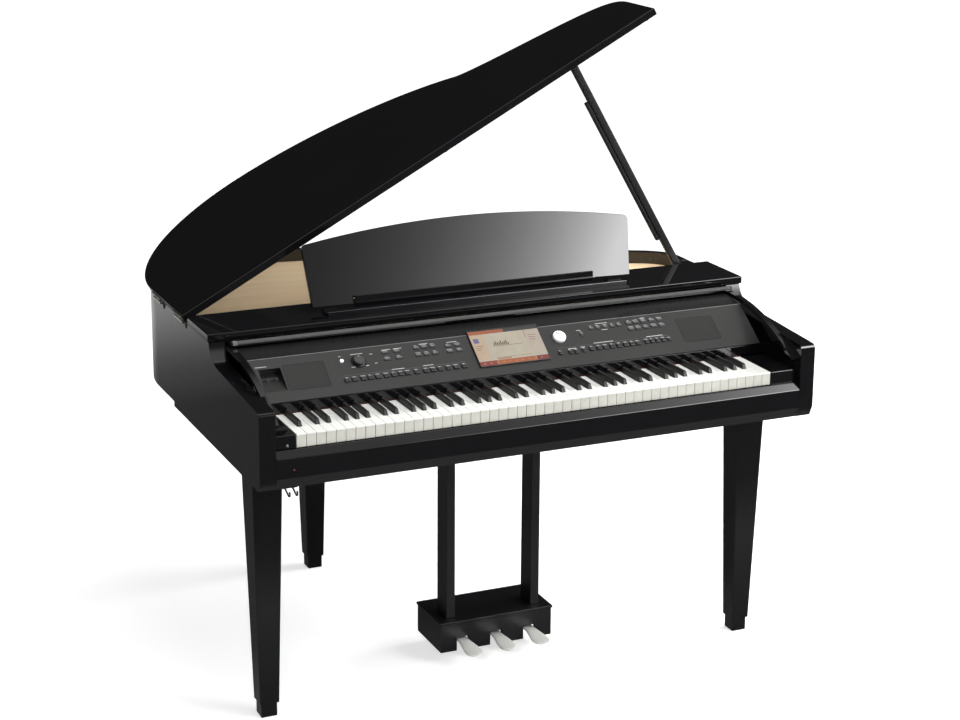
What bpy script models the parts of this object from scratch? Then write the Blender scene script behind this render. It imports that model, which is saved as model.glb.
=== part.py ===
"""Digital grand piano, built piece by piece in metres with +Z up.

The floor is z = 0, x runs along the keyboard from bass to treble and y from the player to the tail.
Places along the depth are written as distances behind the front faces of the two arms.
"""
import math

import bmesh
import bpy
from mathutils import Matrix, Vector
from mathutils.geometry import interpolate_bezier

# Case
DEPTH = 1.185                # arm fronts to the tail of the lid
FRONT_Y = -DEPTH / 2
CASE_HALF = 0.714            # outer faces of the side panels
INNER_HALF = 0.6745          # inner faces of the side panels
TOP_HALF = 0.7175            # top board and lid overhang the sides
OVERHANG = TOP_HALF - CASE_HALF
GAP = 0.0003                 # clearance between pieces that touch
CASE_BOTTOM = 0.636
RIM_BOTTOM = 0.648
RIM_TOP = 0.8875
RIM_WALL = 0.020
LEFT_PANEL_END = 0.684
RIGHT_PANEL_END = 0.640
PANEL_TOP = 0.8867
FLOOR_BOTTOM = 0.642         # underside of the bottom board
FLOOR_TOP = 0.658
SOUNDBOARD_TOP = 0.855

# Top board and lid
TOP_BOARD = (0.362, 0.541)
TOP_BOARD_TOP = 0.906
LID_FRONT = 0.543
LID_THICKNESS = 0.019
LID_ANGLE = math.radians(28.3)
HINGE_X = -0.7215
HINGE_Z = 0.888

# Key cover: an arc about an axis below the keyboard
COVER_AXIS = (0.340, 0.284)
COVER_RADIUS = 0.6015
COVER_THICKNESS = 0.0075
COVER_SWEEP = math.radians(33.0)
COVER_HALF = 0.660

# Keyboard
KEY_PITCH = 0.0235
WHITE_COUNT = 52
KEYS_CENTRE_X = -0.010
KEYS_LEFT = KEYS_CENTRE_X - KEY_PITCH * WHITE_COUNT / 2
KEYS_RIGHT = KEYS_CENTRE_X + KEY_PITCH * WHITE_COUNT / 2
KEY_FRONT = 0.018
KEY_TOP = 0.757
KEY_BOTTOM = 0.7255
KEY_GAP = 0.001
BLACK_FRONT = 0.068
BLACK_REAR = 0.162
BLACK_TOP = 0.769
BLACK_WIDTH = 0.0105
BLACK_TOP_WIDTH = 0.0090
NOTCH_WIDTH = 0.0130
KEY_AXIS = (0.249, 0.7325)
RAIL = (0.2495, 0.275)
MOVING_OCTAVE = range(23, 30)
OCTAVE_NAMES = ("c", "d", "e", "f", "g", "a", "b")
# Black key right of each white key of an octave: its offset from the line between the two
BLACK_OFFSETS = {"c": -0.0018, "d": 0.0018, "f": -0.0026, "g": 0.0, "a": 0.0026}

# Sloped control panel
PANEL_FRONT = (0.165, 0.786)
PANEL_ANGLE = math.radians(35.7)
PANEL_LENGTH = 0.129
PANEL_HALF = 0.658
PANEL_THICKNESS = 0.003
SHELF_LENGTH = 0.078         # the panel's sheet folds back under the top board
SHELF_FOLD = math.radians(27.7)
POWER_BUTTON = (-0.430, 0.0965, 0.0055)
SCREEN = (-0.100, 0.086, 0.027, 0.138)
LEFT_GRILLE = (-0.575, -0.475, 0.030, 0.103)
RIGHT_GRILLE = (0.459, 0.560, 0.030, 0.103)
USB_BAY = (-0.634, -0.581, 0.032, 0.098)
USB_BAY_DEPTH = 0.018

# Music rest
REST_HINGE = (0.4465, 0.9195)
REST_ANGLE = math.radians(74.0)
REST_HALF = 0.4304
REST_FLARE = 0.0125
REST_CORNER = 0.152
REST_MIDDLE = 0.190
REST_THICKNESS = 0.010
STAY_PIVOT = 0.075
STAY_BACK = 0.0085
STAY_LENGTH = 0.092

# Prop
PROP_PLACE = 0.562
PROP_BASE = (0.650, 0.874)
PROP_LEAN = math.radians(30.0)
PROP_WIDTH = 0.020
PROP_DEPTH = 0.014
SHORT_PROP_START = 0.124
SHORT_PROP_LENGTH = 0.436
SHORT_PROP_WIDTH = 0.009

# Stand
LEG_X = 0.643
LEG_PLACE = 0.207
REAR_LEG = (-0.231, 1.042)
LEG_TOP_SIZE = (0.075, 0.082)
LEG_END_SIZE = (0.048, 0.048)
LEG_HEAD = 0.056
FOOT_SIZE = 0.040
FOOT_HEIGHT = 0.035
POST_X = 0.1165
POST_SIZE = (0.0235, 0.060)
POST_PLACE = 0.355
PEDAL_BOX = (0.153, 0.3015, 0.4550, 0.028, 0.101)
PEDAL_PLATE_TOP = 0.108
PEDAL_PITCH = 0.092
PEDAL_TIP = 0.212
PEDAL_SLOT = (0.034, 0.036)
PEDAL_AXIS = (0.425, 0.0445)
WOOFER_X = 0.360
WOOFER_PLACE = 0.470
WOOFER_RADIUS = 0.080


def depth(distance):
    """Turn a distance behind the arm fronts into a y coordinate."""
    return FRONT_Y + distance


def clear_scene():
    """Remove what the scene holds."""
    for obj in list(bpy.data.objects):
        bpy.data.objects.remove(obj, do_unlink=True)


def make_collection(name):
    """Return a new collection linked to the scene."""
    collection = bpy.data.collections.new(name)
    bpy.context.scene.collection.children.link(collection)
    return collection


clear_scene()
PIECES = make_collection("digital_grand_piano")
CUTTERS = make_collection("cutters")


def finish(name, colour, roughness, metallic=0.0):
    """Return a Principled material."""
    material = bpy.data.materials.new(name)
    material.use_nodes = True
    shader = material.node_tree.nodes["Principled BSDF"]
    shader.inputs["Base Color"].default_value = (*colour, 1.0)
    shader.inputs["Roughness"].default_value = roughness
    shader.inputs["Metallic"].default_value = metallic
    material.diffuse_color = (*colour, 1.0)
    return material


def dress(obj, colour, roughness, metallic=0.0):
    """Give an object a material of its own."""
    obj.data.materials.clear()
    obj.data.materials.append(finish(obj.name + "_finish", colour, roughness, metallic))
    return obj


def black_polish(obj):
    """Polished black, as on all the wood of the case."""
    return dress(obj, (0.012, 0.012, 0.013), 0.08)


def satin_black(obj):
    """Satin black of inner pieces."""
    return dress(obj, (0.02, 0.02, 0.02), 0.45)


def metal(obj):
    """Bright metal."""
    return dress(obj, (0.72, 0.70, 0.66), 0.25, 1.0)


def object_from(bm, name, collection=None):
    """Turn a bmesh into an object."""
    bmesh.ops.recalc_face_normals(bm, faces=bm.faces)
    mesh = bpy.data.meshes.new(name)
    bm.to_mesh(mesh)
    bm.free()
    obj = bpy.data.objects.new(name, mesh)
    (collection or PIECES).objects.link(obj)
    return obj


def add_box(bm, x, y, z):
    """Add a box to a bmesh, given as three ranges."""
    centre = Vector([(low + high) / 2 for low, high in (x, y, z)])
    size = [high - low for low, high in (x, y, z)]
    matrix = Matrix.Translation(centre) @ Matrix.Diagonal((*size, 1.0))
    return bmesh.ops.create_cube(bm, size=1.0, matrix=matrix)["verts"]


def boxes(name, ranges, collection=None):
    """Return an object of one or more boxes."""
    bm = bmesh.new()
    for x, y, z in ranges:
        add_box(bm, x, y, z)
    return object_from(bm, name, collection)


def box(name, x, place, z):
    """Return a box whose y range is a distance behind the arm fronts."""
    return boxes(name, [(x, (depth(place[0]), depth(place[1])), z)])


def cylinder(name, radius, low, high, centre, axis="Z", segments=32, collection=None, top_radius=None):
    """Return a cylinder or cone along an axis between two heights."""
    bm = bmesh.new()
    bmesh.ops.create_cone(bm, cap_ends=True, segments=segments, radius1=radius,
                          radius2=radius if top_radius is None else top_radius, depth=high - low)
    bmesh.ops.translate(bm, verts=bm.verts, vec=(0, 0, (low + high) / 2))
    turn = {"Z": Matrix(), "Y": Matrix.Rotation(-math.pi / 2, 4, "X"),
            "X": Matrix.Rotation(math.pi / 2, 4, "Y")}
    bmesh.ops.transform(bm, verts=bm.verts, matrix=Matrix.Translation(centre) @ turn[axis])
    return object_from(bm, name, collection)


def prism(name, outline, low, high, axis="Z", collection=None):
    """Extrude a flat outline. Along X its points are (y, z), along Z they are (x, y)."""
    curve = bpy.data.curves.new(name, "CURVE")
    curve.dimensions = "2D"
    curve.fill_mode = "BOTH"
    curve.extrude = (high - low) / 2
    spline = curve.splines.new("POLY")
    spline.points.add(len(outline) - 1)
    for point, (u, v) in zip(spline.points, outline):
        point.co = (u, v, 0.0, 1.0)
    spline.use_cyclic_u = True
    holder = bpy.data.objects.new(name + "_outline", curve)
    PIECES.objects.link(holder)
    bpy.context.view_layer.update()
    mesh = bpy.data.meshes.new_from_object(holder.evaluated_get(bpy.context.evaluated_depsgraph_get()))
    bpy.data.objects.remove(holder, do_unlink=True)
    mesh.name = name
    bm = bmesh.new()
    bm.from_mesh(mesh)
    bpy.data.meshes.remove(mesh)
    bmesh.ops.remove_doubles(bm, verts=bm.verts, dist=0.00005)
    middle = (low + high) / 2
    if axis == "Z":
        matrix = Matrix.Translation((0, 0, middle))
    else:
        matrix = Matrix(((0, 0, 1, middle), (1, 0, 0, 0), (0, 1, 0, 0), (0, 0, 0, 1)))
    bmesh.ops.transform(bm, verts=bm.verts, matrix=matrix)
    return object_from(bm, name, collection)


def set_origin(obj, point):
    """Move an object's origin to a point without moving its shape."""
    obj.data.transform(Matrix.Translation(-Vector(point)))
    obj.location = point
    return obj


def bevel(obj, width, segments=2, angle=40):
    """Round the edges that are sharper than an angle."""
    modifier = obj.modifiers.new("rounded_edges", "BEVEL")
    modifier.width = width
    modifier.segments = segments
    modifier.limit_method = "ANGLE"
    modifier.angle_limit = math.radians(angle)
    return obj


def combine(obj, other, operation):
    """Cut an object by another, or join the other to it, and hide the other."""
    modifier = obj.modifiers.new(operation.lower(), "BOOLEAN")
    modifier.operation = operation
    modifier.object = other
    modifier.solver = "EXACT"
    for collection in list(other.users_collection):
        collection.objects.unlink(other)
    CUTTERS.objects.link(other)
    other.hide_render = True
    other.display_type = "WIRE"
    return obj


def cut(obj, other):
    """Cut another object out of this one."""
    return combine(obj, other, "DIFFERENCE")


def join(obj, other):
    """Join another object to this one."""
    return combine(obj, other, "UNION")


def bezier(start, start_handle, end_handle, end, count):
    """Points of a Bezier span, without its last point."""
    points = interpolate_bezier(Vector(start), Vector(start_handle), Vector(end_handle), Vector(end),
                                count + 1)
    return [(p.x, p.y) for p in points[:-1]]


def arc(centre, radius, start, end, count):
    """Points of an arc from one angle to another, both ends included."""
    step = (end - start) / count
    return [(centre[0] + radius * math.cos(start + step * i), centre[1] + radius * math.sin(start + step * i))
            for i in range(count + 1)]


def case_outline(segments=10):
    """The lid's curved side in plan, from the left spine round the tail to the right front."""
    # Each knot: point, direction of travel, handle before and after
    knots = (((-TOP_HALF, 0.822), (0.0, 1.0), 0.0, 0.231),
             ((-0.327, 1.173 + 0.012), (1.0, 0.0), 0.205, 0.211),
             ((0.277, 0.927), (0.689, -0.725), 0.218, 0.043),
             ((0.573, 0.818), (0.941, -0.338), 0.098, 0.121),
             ((TOP_HALF, 0.683), (0.0, -1.0), 0.064, 0.0))
    points = []
    for (p, t, _, out), (q, u, into, _) in zip(knots, knots[1:]):
        a = (p[0] + t[0] * out, p[1] + t[1] * out)
        b = (q[0] - u[0] * into, q[1] - u[1] * into)
        points += bezier(p, a, b, q, segments)
    return points + [knots[-1][0]]


def inset(points, distance):
    """Move an open line of points to its right-hand side, the inside of the case."""
    moved = []
    for i, point in enumerate(points):
        before = Vector(points[max(i - 1, 0)])
        after = Vector(points[min(i + 1, len(points) - 1)])
        along = (after - before).normalized()
        moved.append((point[0] + along.y * distance, point[1] - along.x * distance))
    return moved


def in_world(points):
    """Shift (x, distance) points to world (x, y)."""
    return [(x, depth(d)) for x, d in points]


def side_panel(side):
    """A side of the case with its scrolled arm, and the ledge on which the key cover slides."""
    name = "left_side_panel" if side < 0 else "right_side_panel"
    end = LEFT_PANEL_END if side < 0 else RIGHT_PANEL_END
    scroll = bezier((0.300, 0.838), (0.345, 0.8405), (0.362, 0.864), (0.3705, PANEL_TOP), 8)
    outline = [(0.012, CASE_BOTTOM), (0.0, 0.662), (0.0, 0.810), (0.003, 0.817), (0.010, 0.8205)]
    outline += scroll + [(0.3705, PANEL_TOP), (end, PANEL_TOP), (end, CASE_BOTTOM)]
    inner, outer = sorted((side * INNER_HALF, side * CASE_HALF))
    panel = prism(name, [(depth(d), z) for d, z in outline], inner, outer, "X")
    rail_top = COVER_RADIUS - COVER_THICKNESS - 0.0007
    centre = (depth(COVER_AXIS[0]), COVER_AXIS[1])
    sweep = (math.radians(90 - 29.8), math.radians(90 + 32.8))
    ledge = arc(centre, rail_top, *sweep, 14) + arc(centre, rail_top - 0.010, *sweep[::-1], 14)
    low, high = sorted((side * (COVER_HALF + 0.0005), side * (INNER_HALF + 0.001)))
    join(panel, prism(name + "_cover_ledge", ledge, low, high, "X"))
    return black_polish(panel)


def curved_rim():
    """The bent wall from the left panel round the tail to the right panel."""
    plan = [(-TOP_HALF, LEFT_PANEL_END + GAP)] + case_outline() + [(TOP_HALF, RIGHT_PANEL_END + GAP)]
    plan = inset(plan, OVERHANG)
    bm = bmesh.new()
    rows = [[bm.verts.new((x, depth(d), z)) for x, d in plan] for z in (RIM_BOTTOM, RIM_TOP)]
    for i in range(len(plan) - 1):
        bm.faces.new((rows[0][i], rows[0][i + 1], rows[1][i + 1], rows[1][i]))
    mesh = bpy.data.meshes.new("curved_rim")
    bm.to_mesh(mesh)
    bm.free()
    rim = bpy.data.objects.new("curved_rim", mesh)
    PIECES.objects.link(rim)
    wall = rim.modifiers.new("wall", "SOLIDIFY")
    wall.thickness = RIM_WALL
    wall.offset = -1.0 if mesh.polygons[0].normal.x < 0 else 1.0
    wall.use_even_offset = True
    return black_polish(rim)


def inner_plan(front):
    """Outline of a board that fills the case inside, from a front edge to the rim."""
    clearance = OVERHANG + RIM_WALL + 2 * GAP
    half = INNER_HALF - GAP
    start = (-TOP_HALF, LEFT_PANEL_END + 0.002)
    stop = (TOP_HALF, RIGHT_PANEL_END + 0.002)
    rear = inset([start] + case_outline() + [stop], clearance)
    return [(half, stop[1]), (half, front), (-half, front), (-half, start[1])] + rear


def bottom_board():
    """The floor of the case, with the openings for the two woofers."""
    board = prism("bottom_board", in_world(inner_plan(0.020)), FLOOR_BOTTOM, FLOOR_TOP)
    for side in (-1, 1):
        centre = (side * WOOFER_X, depth(WOOFER_PLACE), 0)
        hole = cylinder("woofer_hole", WOOFER_RADIUS, FLOOR_BOTTOM - 0.01, FLOOR_TOP + 0.01, centre,
                        collection=CUTTERS)
        cut(board, hole)
    return satin_black(board)


def soundboard():
    """The pale inner board under the lid."""
    board = prism("soundboard", in_world(inner_plan(0.556)), SOUNDBOARD_TOP - 0.006, SOUNDBOARD_TOP)
    return dress(board, (0.62, 0.43, 0.24), 0.5)


def woofer(name, side):
    """A driver on the bottom board: flange, cone, basket and magnet, turned about its axis."""
    top = FLOOR_TOP + GAP
    profile = [(0.0, top + 0.082), (0.042, top + 0.082), (0.042, top + 0.050), (0.030, top + 0.048),
               (0.074, top + 0.006), (0.090, top + 0.005), (0.090, top), (0.072, top), (0.030, top + 0.032),
               (0.022, top + 0.030), (0.0, top + 0.026)]
    bm = bmesh.new()
    verts = [bm.verts.new((r, 0.0, z)) for r, z in profile]
    edges = [bm.edges.new(pair) for pair in zip(verts, verts[1:])]
    bmesh.ops.spin(bm, geom=verts + edges, cent=(0, 0, 0), axis=(0, 0, 1), angle=2 * math.pi, steps=28,
                   use_merge=True)
    bmesh.ops.remove_doubles(bm, verts=bm.verts, dist=0.00005)
    driver = object_from(bm, name)
    driver.location = (side * WOOFER_X, depth(WOOFER_PLACE), 0)
    return satin_black(driver)


def circuit_board():
    """The main board on its four standoffs, with a heat sink and a transformer."""
    low = FLOOR_TOP + GAP
    board = boxes("main_circuit_board", [((-0.16, 0.16), (depth(0.70), depth(0.88)),
                                          (low + 0.010, low + 0.012))])
    parts = [((x - 0.005, x + 0.005), (depth(d) - 0.005, depth(d) + 0.005), (low, low + 0.011))
             for x in (-0.145, 0.145) for d in (0.715, 0.865)]
    parts += [((0.06, 0.13), (depth(0.78), depth(0.85)), (low + 0.011, low + 0.055))]
    parts += [((-0.13 + 0.008 * i, -0.126 + 0.008 * i), (depth(0.73), depth(0.81)), (low + 0.011, low + 0.040))
              for i in range(12)]
    join(board, boxes("board_parts", parts, CUTTERS))
    return dress(board, (0.02, 0.12, 0.05), 0.5)


def power_inlet():
    """The mains inlet under the bottom board, open to the rear."""
    top = FLOOR_BOTTOM - GAP
    body = box("power_inlet", (-0.575, -0.535), (0.585, 0.625), (top - 0.030, top))
    cut(body, boxes("inlet_mouth", [((-0.567, -0.543), (depth(0.607), depth(0.635)), (top - 0.024, top - 0.008))],
                    CUTTERS))
    return satin_black(body)


def key_slip():
    """The rail in front of the keys, chamfered at its top and bottom."""
    outline = [(0.013, CASE_BOTTOM), (0.0, 0.662), (0.0, 0.708), (0.0125, 0.7243), (0.016, 0.7243),
               (0.016, CASE_BOTTOM)]
    rail = prism("key_slip", [(depth(d), z) for d, z in outline], -INNER_HALF + GAP, INNER_HALF - GAP, "X")
    return black_polish(rail)


def key_block(name, low, high):
    """A block that closes the space between the end key and the side."""
    block = box(name, (low, high), (KEY_FRONT, 0.164), (FLOOR_TOP + GAP, KEY_TOP))
    return black_polish(block)


def name_board():
    """The glossy board that stands behind the keys."""
    board = box("name_board", (-INNER_HALF + GAP, INNER_HALF - GAP), (0.1665, 0.1745), (0.7605, 0.7828))
    return black_polish(board)


def black_offset(index):
    """Offset of the black key to the right of a white key, or None. The first white key is an A."""
    name = OCTAVE_NAMES[(index + 5) % 7]
    if index >= WHITE_COUNT - 1:
        return None
    return BLACK_OFFSETS.get(name)


def white_outline(index):
    """A white key in plan, narrower between the black keys."""
    left = KEYS_LEFT + index * KEY_PITCH + KEY_GAP / 2
    right = KEYS_LEFT + (index + 1) * KEY_PITCH - KEY_GAP / 2
    shoulder = depth(BLACK_FRONT - 0.0015)
    rear = depth(RAIL[0] - 0.0005)
    points = [(left, depth(KEY_FRONT)), (right, depth(KEY_FRONT))]
    offset = black_offset(index)
    if offset is not None:
        notch = KEYS_LEFT + (index + 1) * KEY_PITCH + offset - NOTCH_WIDTH / 2
        points += [(right, shoulder), (notch, shoulder), (notch, rear)]
    else:
        points += [(right, rear)]
    offset = black_offset(index - 1) if index > 0 else None
    if offset is not None:
        notch = KEYS_LEFT + index * KEY_PITCH + offset + NOTCH_WIDTH / 2
        points += [(notch, rear), (notch, shoulder), (left, shoulder)]
    else:
        points += [(left, rear)]
    return points


def add_white_key(bm, index, rear=0.0):
    """Add a white key to a bmesh as a prism, its tail made longer by rear."""
    tail = depth(RAIL[0] - 0.0005)
    outline = [(x, y + rear if abs(y - tail) < 1e-6 else y) for x, y in white_outline(index)]
    verts = [bm.verts.new((x, y, KEY_BOTTOM)) for x, y in outline]
    face = bm.faces.new(verts)
    top = bmesh.ops.extrude_face_region(bm, geom=[face])["geom"]
    moved = [v for v in top if isinstance(v, bmesh.types.BMVert)]
    bmesh.ops.translate(bm, verts=moved, vec=(0, 0, KEY_TOP - KEY_BOTTOM))


def black_centre(index):
    """Centre of the black key to the right of a white key."""
    return KEYS_LEFT + (index + 1) * KEY_PITCH + black_offset(index)


def add_black_key(bm, index, rear):
    """Add a black key to a bmesh: a tapered top with a sloped front, and a lower tail to the rear."""
    x = black_centre(index)
    low, step, wide, narrow = 0.7415, 0.7555, BLACK_WIDTH / 2, BLACK_TOP_WIDTH / 2
    stations = ((BLACK_FRONT, low, 0.7585), (BLACK_FRONT + 0.007, low, BLACK_TOP),
                (BLACK_REAR, low, BLACK_TOP), (BLACK_REAR, low, step), (rear, low, step))
    rings = []
    for place, bottom, top in stations:
        share = (top - step) / (BLACK_TOP - step)
        half = wide + (narrow - wide) * max(share, 0.0)
        y = depth(place)
        rings.append([bm.verts.new(co) for co in ((x - wide, y, bottom), (x + wide, y, bottom),
                                                  (x + wide, y, min(step, top)), (x + half, y, top),
                                                  (x - half, y, top), (x - wide, y, min(step, top)))])
    for a, b in zip(rings, rings[1:]):
        for i in range(6):
            j = (i + 1) % 6
            corners = [a[i], a[j], b[j], b[i]]
            bm.faces.new(corners)
    bm.faces.new(rings[0])
    bm.faces.new(rings[-1])


def clean(bm):
    """Merge the points that coincide and drop the faces that this leaves without area."""
    bmesh.ops.remove_doubles(bm, verts=bm.verts, dist=0.00001)
    bmesh.ops.dissolve_degenerate(bm, edges=bm.edges, dist=0.00001)


def fixed_keys():
    """The keys outside the moving octave, fused with the rails that carry them."""
    bm = bmesh.new()
    for index in range(WHITE_COUNT):
        if index not in MOVING_OCTAVE:
            add_white_key(bm, index, 0.003)
    white = object_from(bm, "white_keys")
    rail = box("white_key_rail", (KEYS_LEFT, KEYS_RIGHT), RAIL, (FLOOR_TOP + 0.0305, 0.7400))
    foot = [((x - 0.012, x + 0.012), (depth(0.2545), depth(0.2745)), (FLOOR_TOP + GAP, 0.7000))
            for x in (KEYS_LEFT + 0.03, KEYS_CENTRE_X - 0.2, KEYS_CENTRE_X + 0.2, KEYS_RIGHT - 0.03)]
    join(white, rail)
    join(white, boxes("key_frame_feet", foot, CUTTERS))
    dress(white, (0.86, 0.85, 0.80), 0.15)
    bm = bmesh.new()
    for index in range(WHITE_COUNT):
        if black_offset(index) is not None and index not in MOVING_OCTAVE:
            add_black_key(bm, index, 0.260)
    clean(bm)
    black = object_from(bm, "black_keys")
    join(black, box("black_key_rail", (KEYS_LEFT, KEYS_RIGHT), (0.2535, RAIL[1]), (0.7403, 0.7560)))
    dress(black, (0.015, 0.015, 0.015), 0.3)


def moving_keys():
    """The octave from middle C: every key turns on its own axis at the key frame."""
    axis = Vector((0.0, depth(KEY_AXIS[0]), KEY_AXIS[1]))
    for index in MOVING_OCTAVE:
        note = OCTAVE_NAMES[(index + 5) % 7]
        bm = bmesh.new()
        add_white_key(bm, index)
        key = object_from(bm, f"key_{note}")
        axis.x = KEYS_LEFT + (index + 0.5) * KEY_PITCH
        dress(set_origin(key, axis), (0.86, 0.85, 0.80), 0.15)
        if black_offset(index) is not None:
            bm = bmesh.new()
            add_black_key(bm, index, 0.2530)
            clean(bm)
            sharp = object_from(bm, f"key_{note}_sharp")
            axis.x = black_centre(index)
            dress(set_origin(sharp, axis), (0.015, 0.015, 0.015), 0.3)


def panel_frame():
    """The sloped panel's own axes: x across, y up the slope, z out of its face."""
    return Matrix.Translation((0, depth(PANEL_FRONT[0]), PANEL_FRONT[1])) @ Matrix.Rotation(PANEL_ANGLE, 4, "X")


def on_panel(obj, origin=(0, 0, 0)):
    """Place an object made in the panel's axes, with its origin at a point of the panel."""
    obj.data.transform(Matrix.Translation(-Vector(origin)))
    obj.matrix_world = panel_frame() @ Matrix.Translation(origin)
    return obj


def button_places(side):
    """Button centres and sizes on the panel, left or right of the screen."""
    if side < 0:
        row = (-0.4327, -0.4151, -0.3933, -0.3759, -0.3572, -0.3361, -0.3172, -0.2993, -0.2824, -0.2594,
               -0.2359, -0.2179, -0.1998, -0.1780, -0.1588, -0.1375)
        places = [(x, 0.0385, 0.0135, 0.0110) for x in row]
        places += [(x, s, 0.0160, 0.0070) for x in (-0.3187, -0.2887) for s in (0.0860, 0.1060)]
        places += [(x, s, 0.0145, 0.0090) for x in (-0.2388, -0.2179, -0.1961) for s in (0.0870, 0.1085)]
        return places + [(x, s, 0.0150, 0.0075) for x in (-0.1580, -0.1335) for s in (0.0870, 0.1030)]
    places = [(0.1180, 0.0424, 0.009, 0.0095), (0.1815, 0.0425, 0.0095, 0.0110),
              (0.4175, 0.0440, 0.009, 0.0095), (0.1940, 0.0919, 0.009, 0.0110)]
    places += [(x, 0.0415, 0.0095, 0.0110) for x in (0.1447, 0.1602)]
    row = (0.2032, 0.2226, 0.2406, 0.2590, 0.2779, 0.2964, 0.3139, 0.3304)
    places += [(x, 0.0440, 0.0125, 0.0115) for x in row]
    places += [(x, 0.0452, 0.0105, 0.0115) for x in (0.3551, 0.3698, 0.3853, 0.4015)]
    places += [(x, 0.1060, 0.0120, 0.0085) for x in (0.2256, 0.2443, 0.2645, 0.2838, 0.3031)]
    columns = (0.3308, 0.3500, 0.3716, 0.3942, 0.4168)
    return places + [(x, s, 0.0155, 0.0095) for x in columns for s in (0.0900, 0.1090)]


def control_panel():
    """The sloped panel with its USB bay and its openings for the grilles and buttons."""
    low = -PANEL_THICKNESS
    fold = (PANEL_LENGTH + SHELF_LENGTH * math.cos(SHELF_FOLD), -SHELF_LENGTH * math.sin(SHELF_FOLD))
    profile = [(0.0, 0.0), (PANEL_LENGTH, 0.0), fold, (fold[0] + low * math.sin(SHELF_FOLD), fold[1] + low),
               (PANEL_LENGTH + low / 4, low), (0.0, low)]
    panel = prism("control_panel", profile, -PANEL_HALF, PANEL_HALF, "X")
    x0, x1, s0, s1 = USB_BAY
    wall = 0.002
    tray = boxes("usb_tray", [((x0 - wall, x1 + wall), (s0 - wall, s1 + wall),
                               (-USB_BAY_DEPTH - wall, low / 2))], CUTTERS)
    join(panel, tray)
    holes = [((x0, x1), (s0, s1), (-USB_BAY_DEPTH, 0.01))]
    holes += [((a, b), (c, d), (low - 0.001, 0.01)) for a, b, c, d in (LEFT_GRILLE, RIGHT_GRILLE)]
    margin = 0.0004
    for side in (-1, 1):
        for x, s, width, height in button_places(side):
            holes.append(((x - width / 2 - margin, x + width / 2 + margin),
                          (s - height / 2 - margin, s + height / 2 + margin), (low - 0.001, 0.01)))
    cut(panel, boxes("panel_openings", holes, CUTTERS))
    x, s, radius = POWER_BUTTON
    cut(panel, cylinder("power_hole", radius + margin, low - 0.001, 0.01, (x, s, 0), segments=24,
                        collection=CUTTERS))
    for obj in (panel, *[m.object for m in panel.modifiers]):
        on_panel(obj)
    return dress(panel, (0.075, 0.078, 0.077), 0.55)


def button_strip(name, side):
    """One moulded strip of buttons behind the panel, its caps standing 1.5 mm proud."""
    places = button_places(side)
    low_x = min(x - w / 2 for x, s, w, h in places) - 0.004
    high_x = max(x + w / 2 for x, s, w, h in places) + 0.004
    low_s = min(s - h / 2 for x, s, w, h in places) - 0.003
    high_s = max(s + h / 2 for x, s, w, h in places) + 0.003
    back = -PANEL_THICKNESS - 0.0015
    strip = boxes(name, [((low_x, high_x), (low_s, high_s), (back - 0.0015, back))])
    caps = [((x - w / 2, x + w / 2), (s - h / 2, s + h / 2), (back - 0.0007, 0.0015)) for x, s, w, h in places]
    join(strip, boxes(name + "_caps", caps, CUTTERS))
    for obj in (strip, strip.modifiers[0].object):
        on_panel(obj)
    return dress(strip, (0.05, 0.05, 0.05), 0.5)


def grille(name, area):
    """A speaker grille of slots, flush with the panel."""
    x0, x1, s0, s1 = area
    plate = boxes(name, [((x0 + GAP, x1 - GAP), (s0 + GAP, s1 - GAP), (-0.0022, 0.0))])
    count = 14
    pitch = (s1 - s0 - 0.006) / count
    slots = [((x0 + 0.004, x1 - 0.004), (s0 + 0.003 + pitch * (i + 0.28), s0 + 0.003 + pitch * (i + 0.72)),
              (-0.01, 0.01)) for i in range(count)]
    cut(plate, boxes(name + "_slots", slots, CUTTERS))
    for obj in (plate, plate.modifiers[0].object):
        on_panel(obj)
    return satin_black(plate)


def display_screen():
    """The colour display in its bezel, standing a little above the panel's top edge."""
    x0, x1, s0, s1 = SCREEN
    screen = boxes("display_screen", [((x0, x1), (s0, s1), (GAP, 0.0045))])
    frame = 0.006
    glass = boxes("screen_recess", [((x0 + frame, x1 - frame), (s0 + frame, s1 - frame), (0.0037, 0.01))],
                  CUTTERS)
    cut(screen, glass)
    for obj in (screen, glass):
        on_panel(obj)
    return dress(screen, (0.55, 0.50, 0.42), 0.2)


def panel_knob(name, x, s, radius, height, colour, roughness, metallic=0.0, low=GAP):
    """A round knob or button on the panel or through it, its rim rounded over."""
    knob = cylinder(name, radius, low, height, (x, s, 0), segments=32, top_radius=radius * 0.94)
    on_panel(knob, (x, s, 0))
    return dress(bevel(knob, 0.0012, 2, 50), colour, roughness, metallic)


def top_board():
    """The fixed board in front of the lid."""
    board = box("top_board", (-TOP_HALF, TOP_HALF), TOP_BOARD, (PANEL_TOP + GAP, TOP_BOARD_TOP))
    return black_polish(bevel(board, 0.0015, 2))


def lid():
    """The lid, hinged along its left edge and standing open."""
    plan = [(-TOP_HALF, LID_FRONT)] + case_outline() + [(TOP_HALF, LID_FRONT)]
    outline = [(x - HINGE_X, depth(d)) for x, d in reversed(plan)]
    board = prism("lid", outline, 0.0, LID_THICKNESS)
    board.location = (HINGE_X, 0.0, HINGE_Z)
    board.rotation_euler = (0.0, -LID_ANGLE, 0.0)
    return black_polish(bevel(board, 0.0015, 2, 50))


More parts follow.
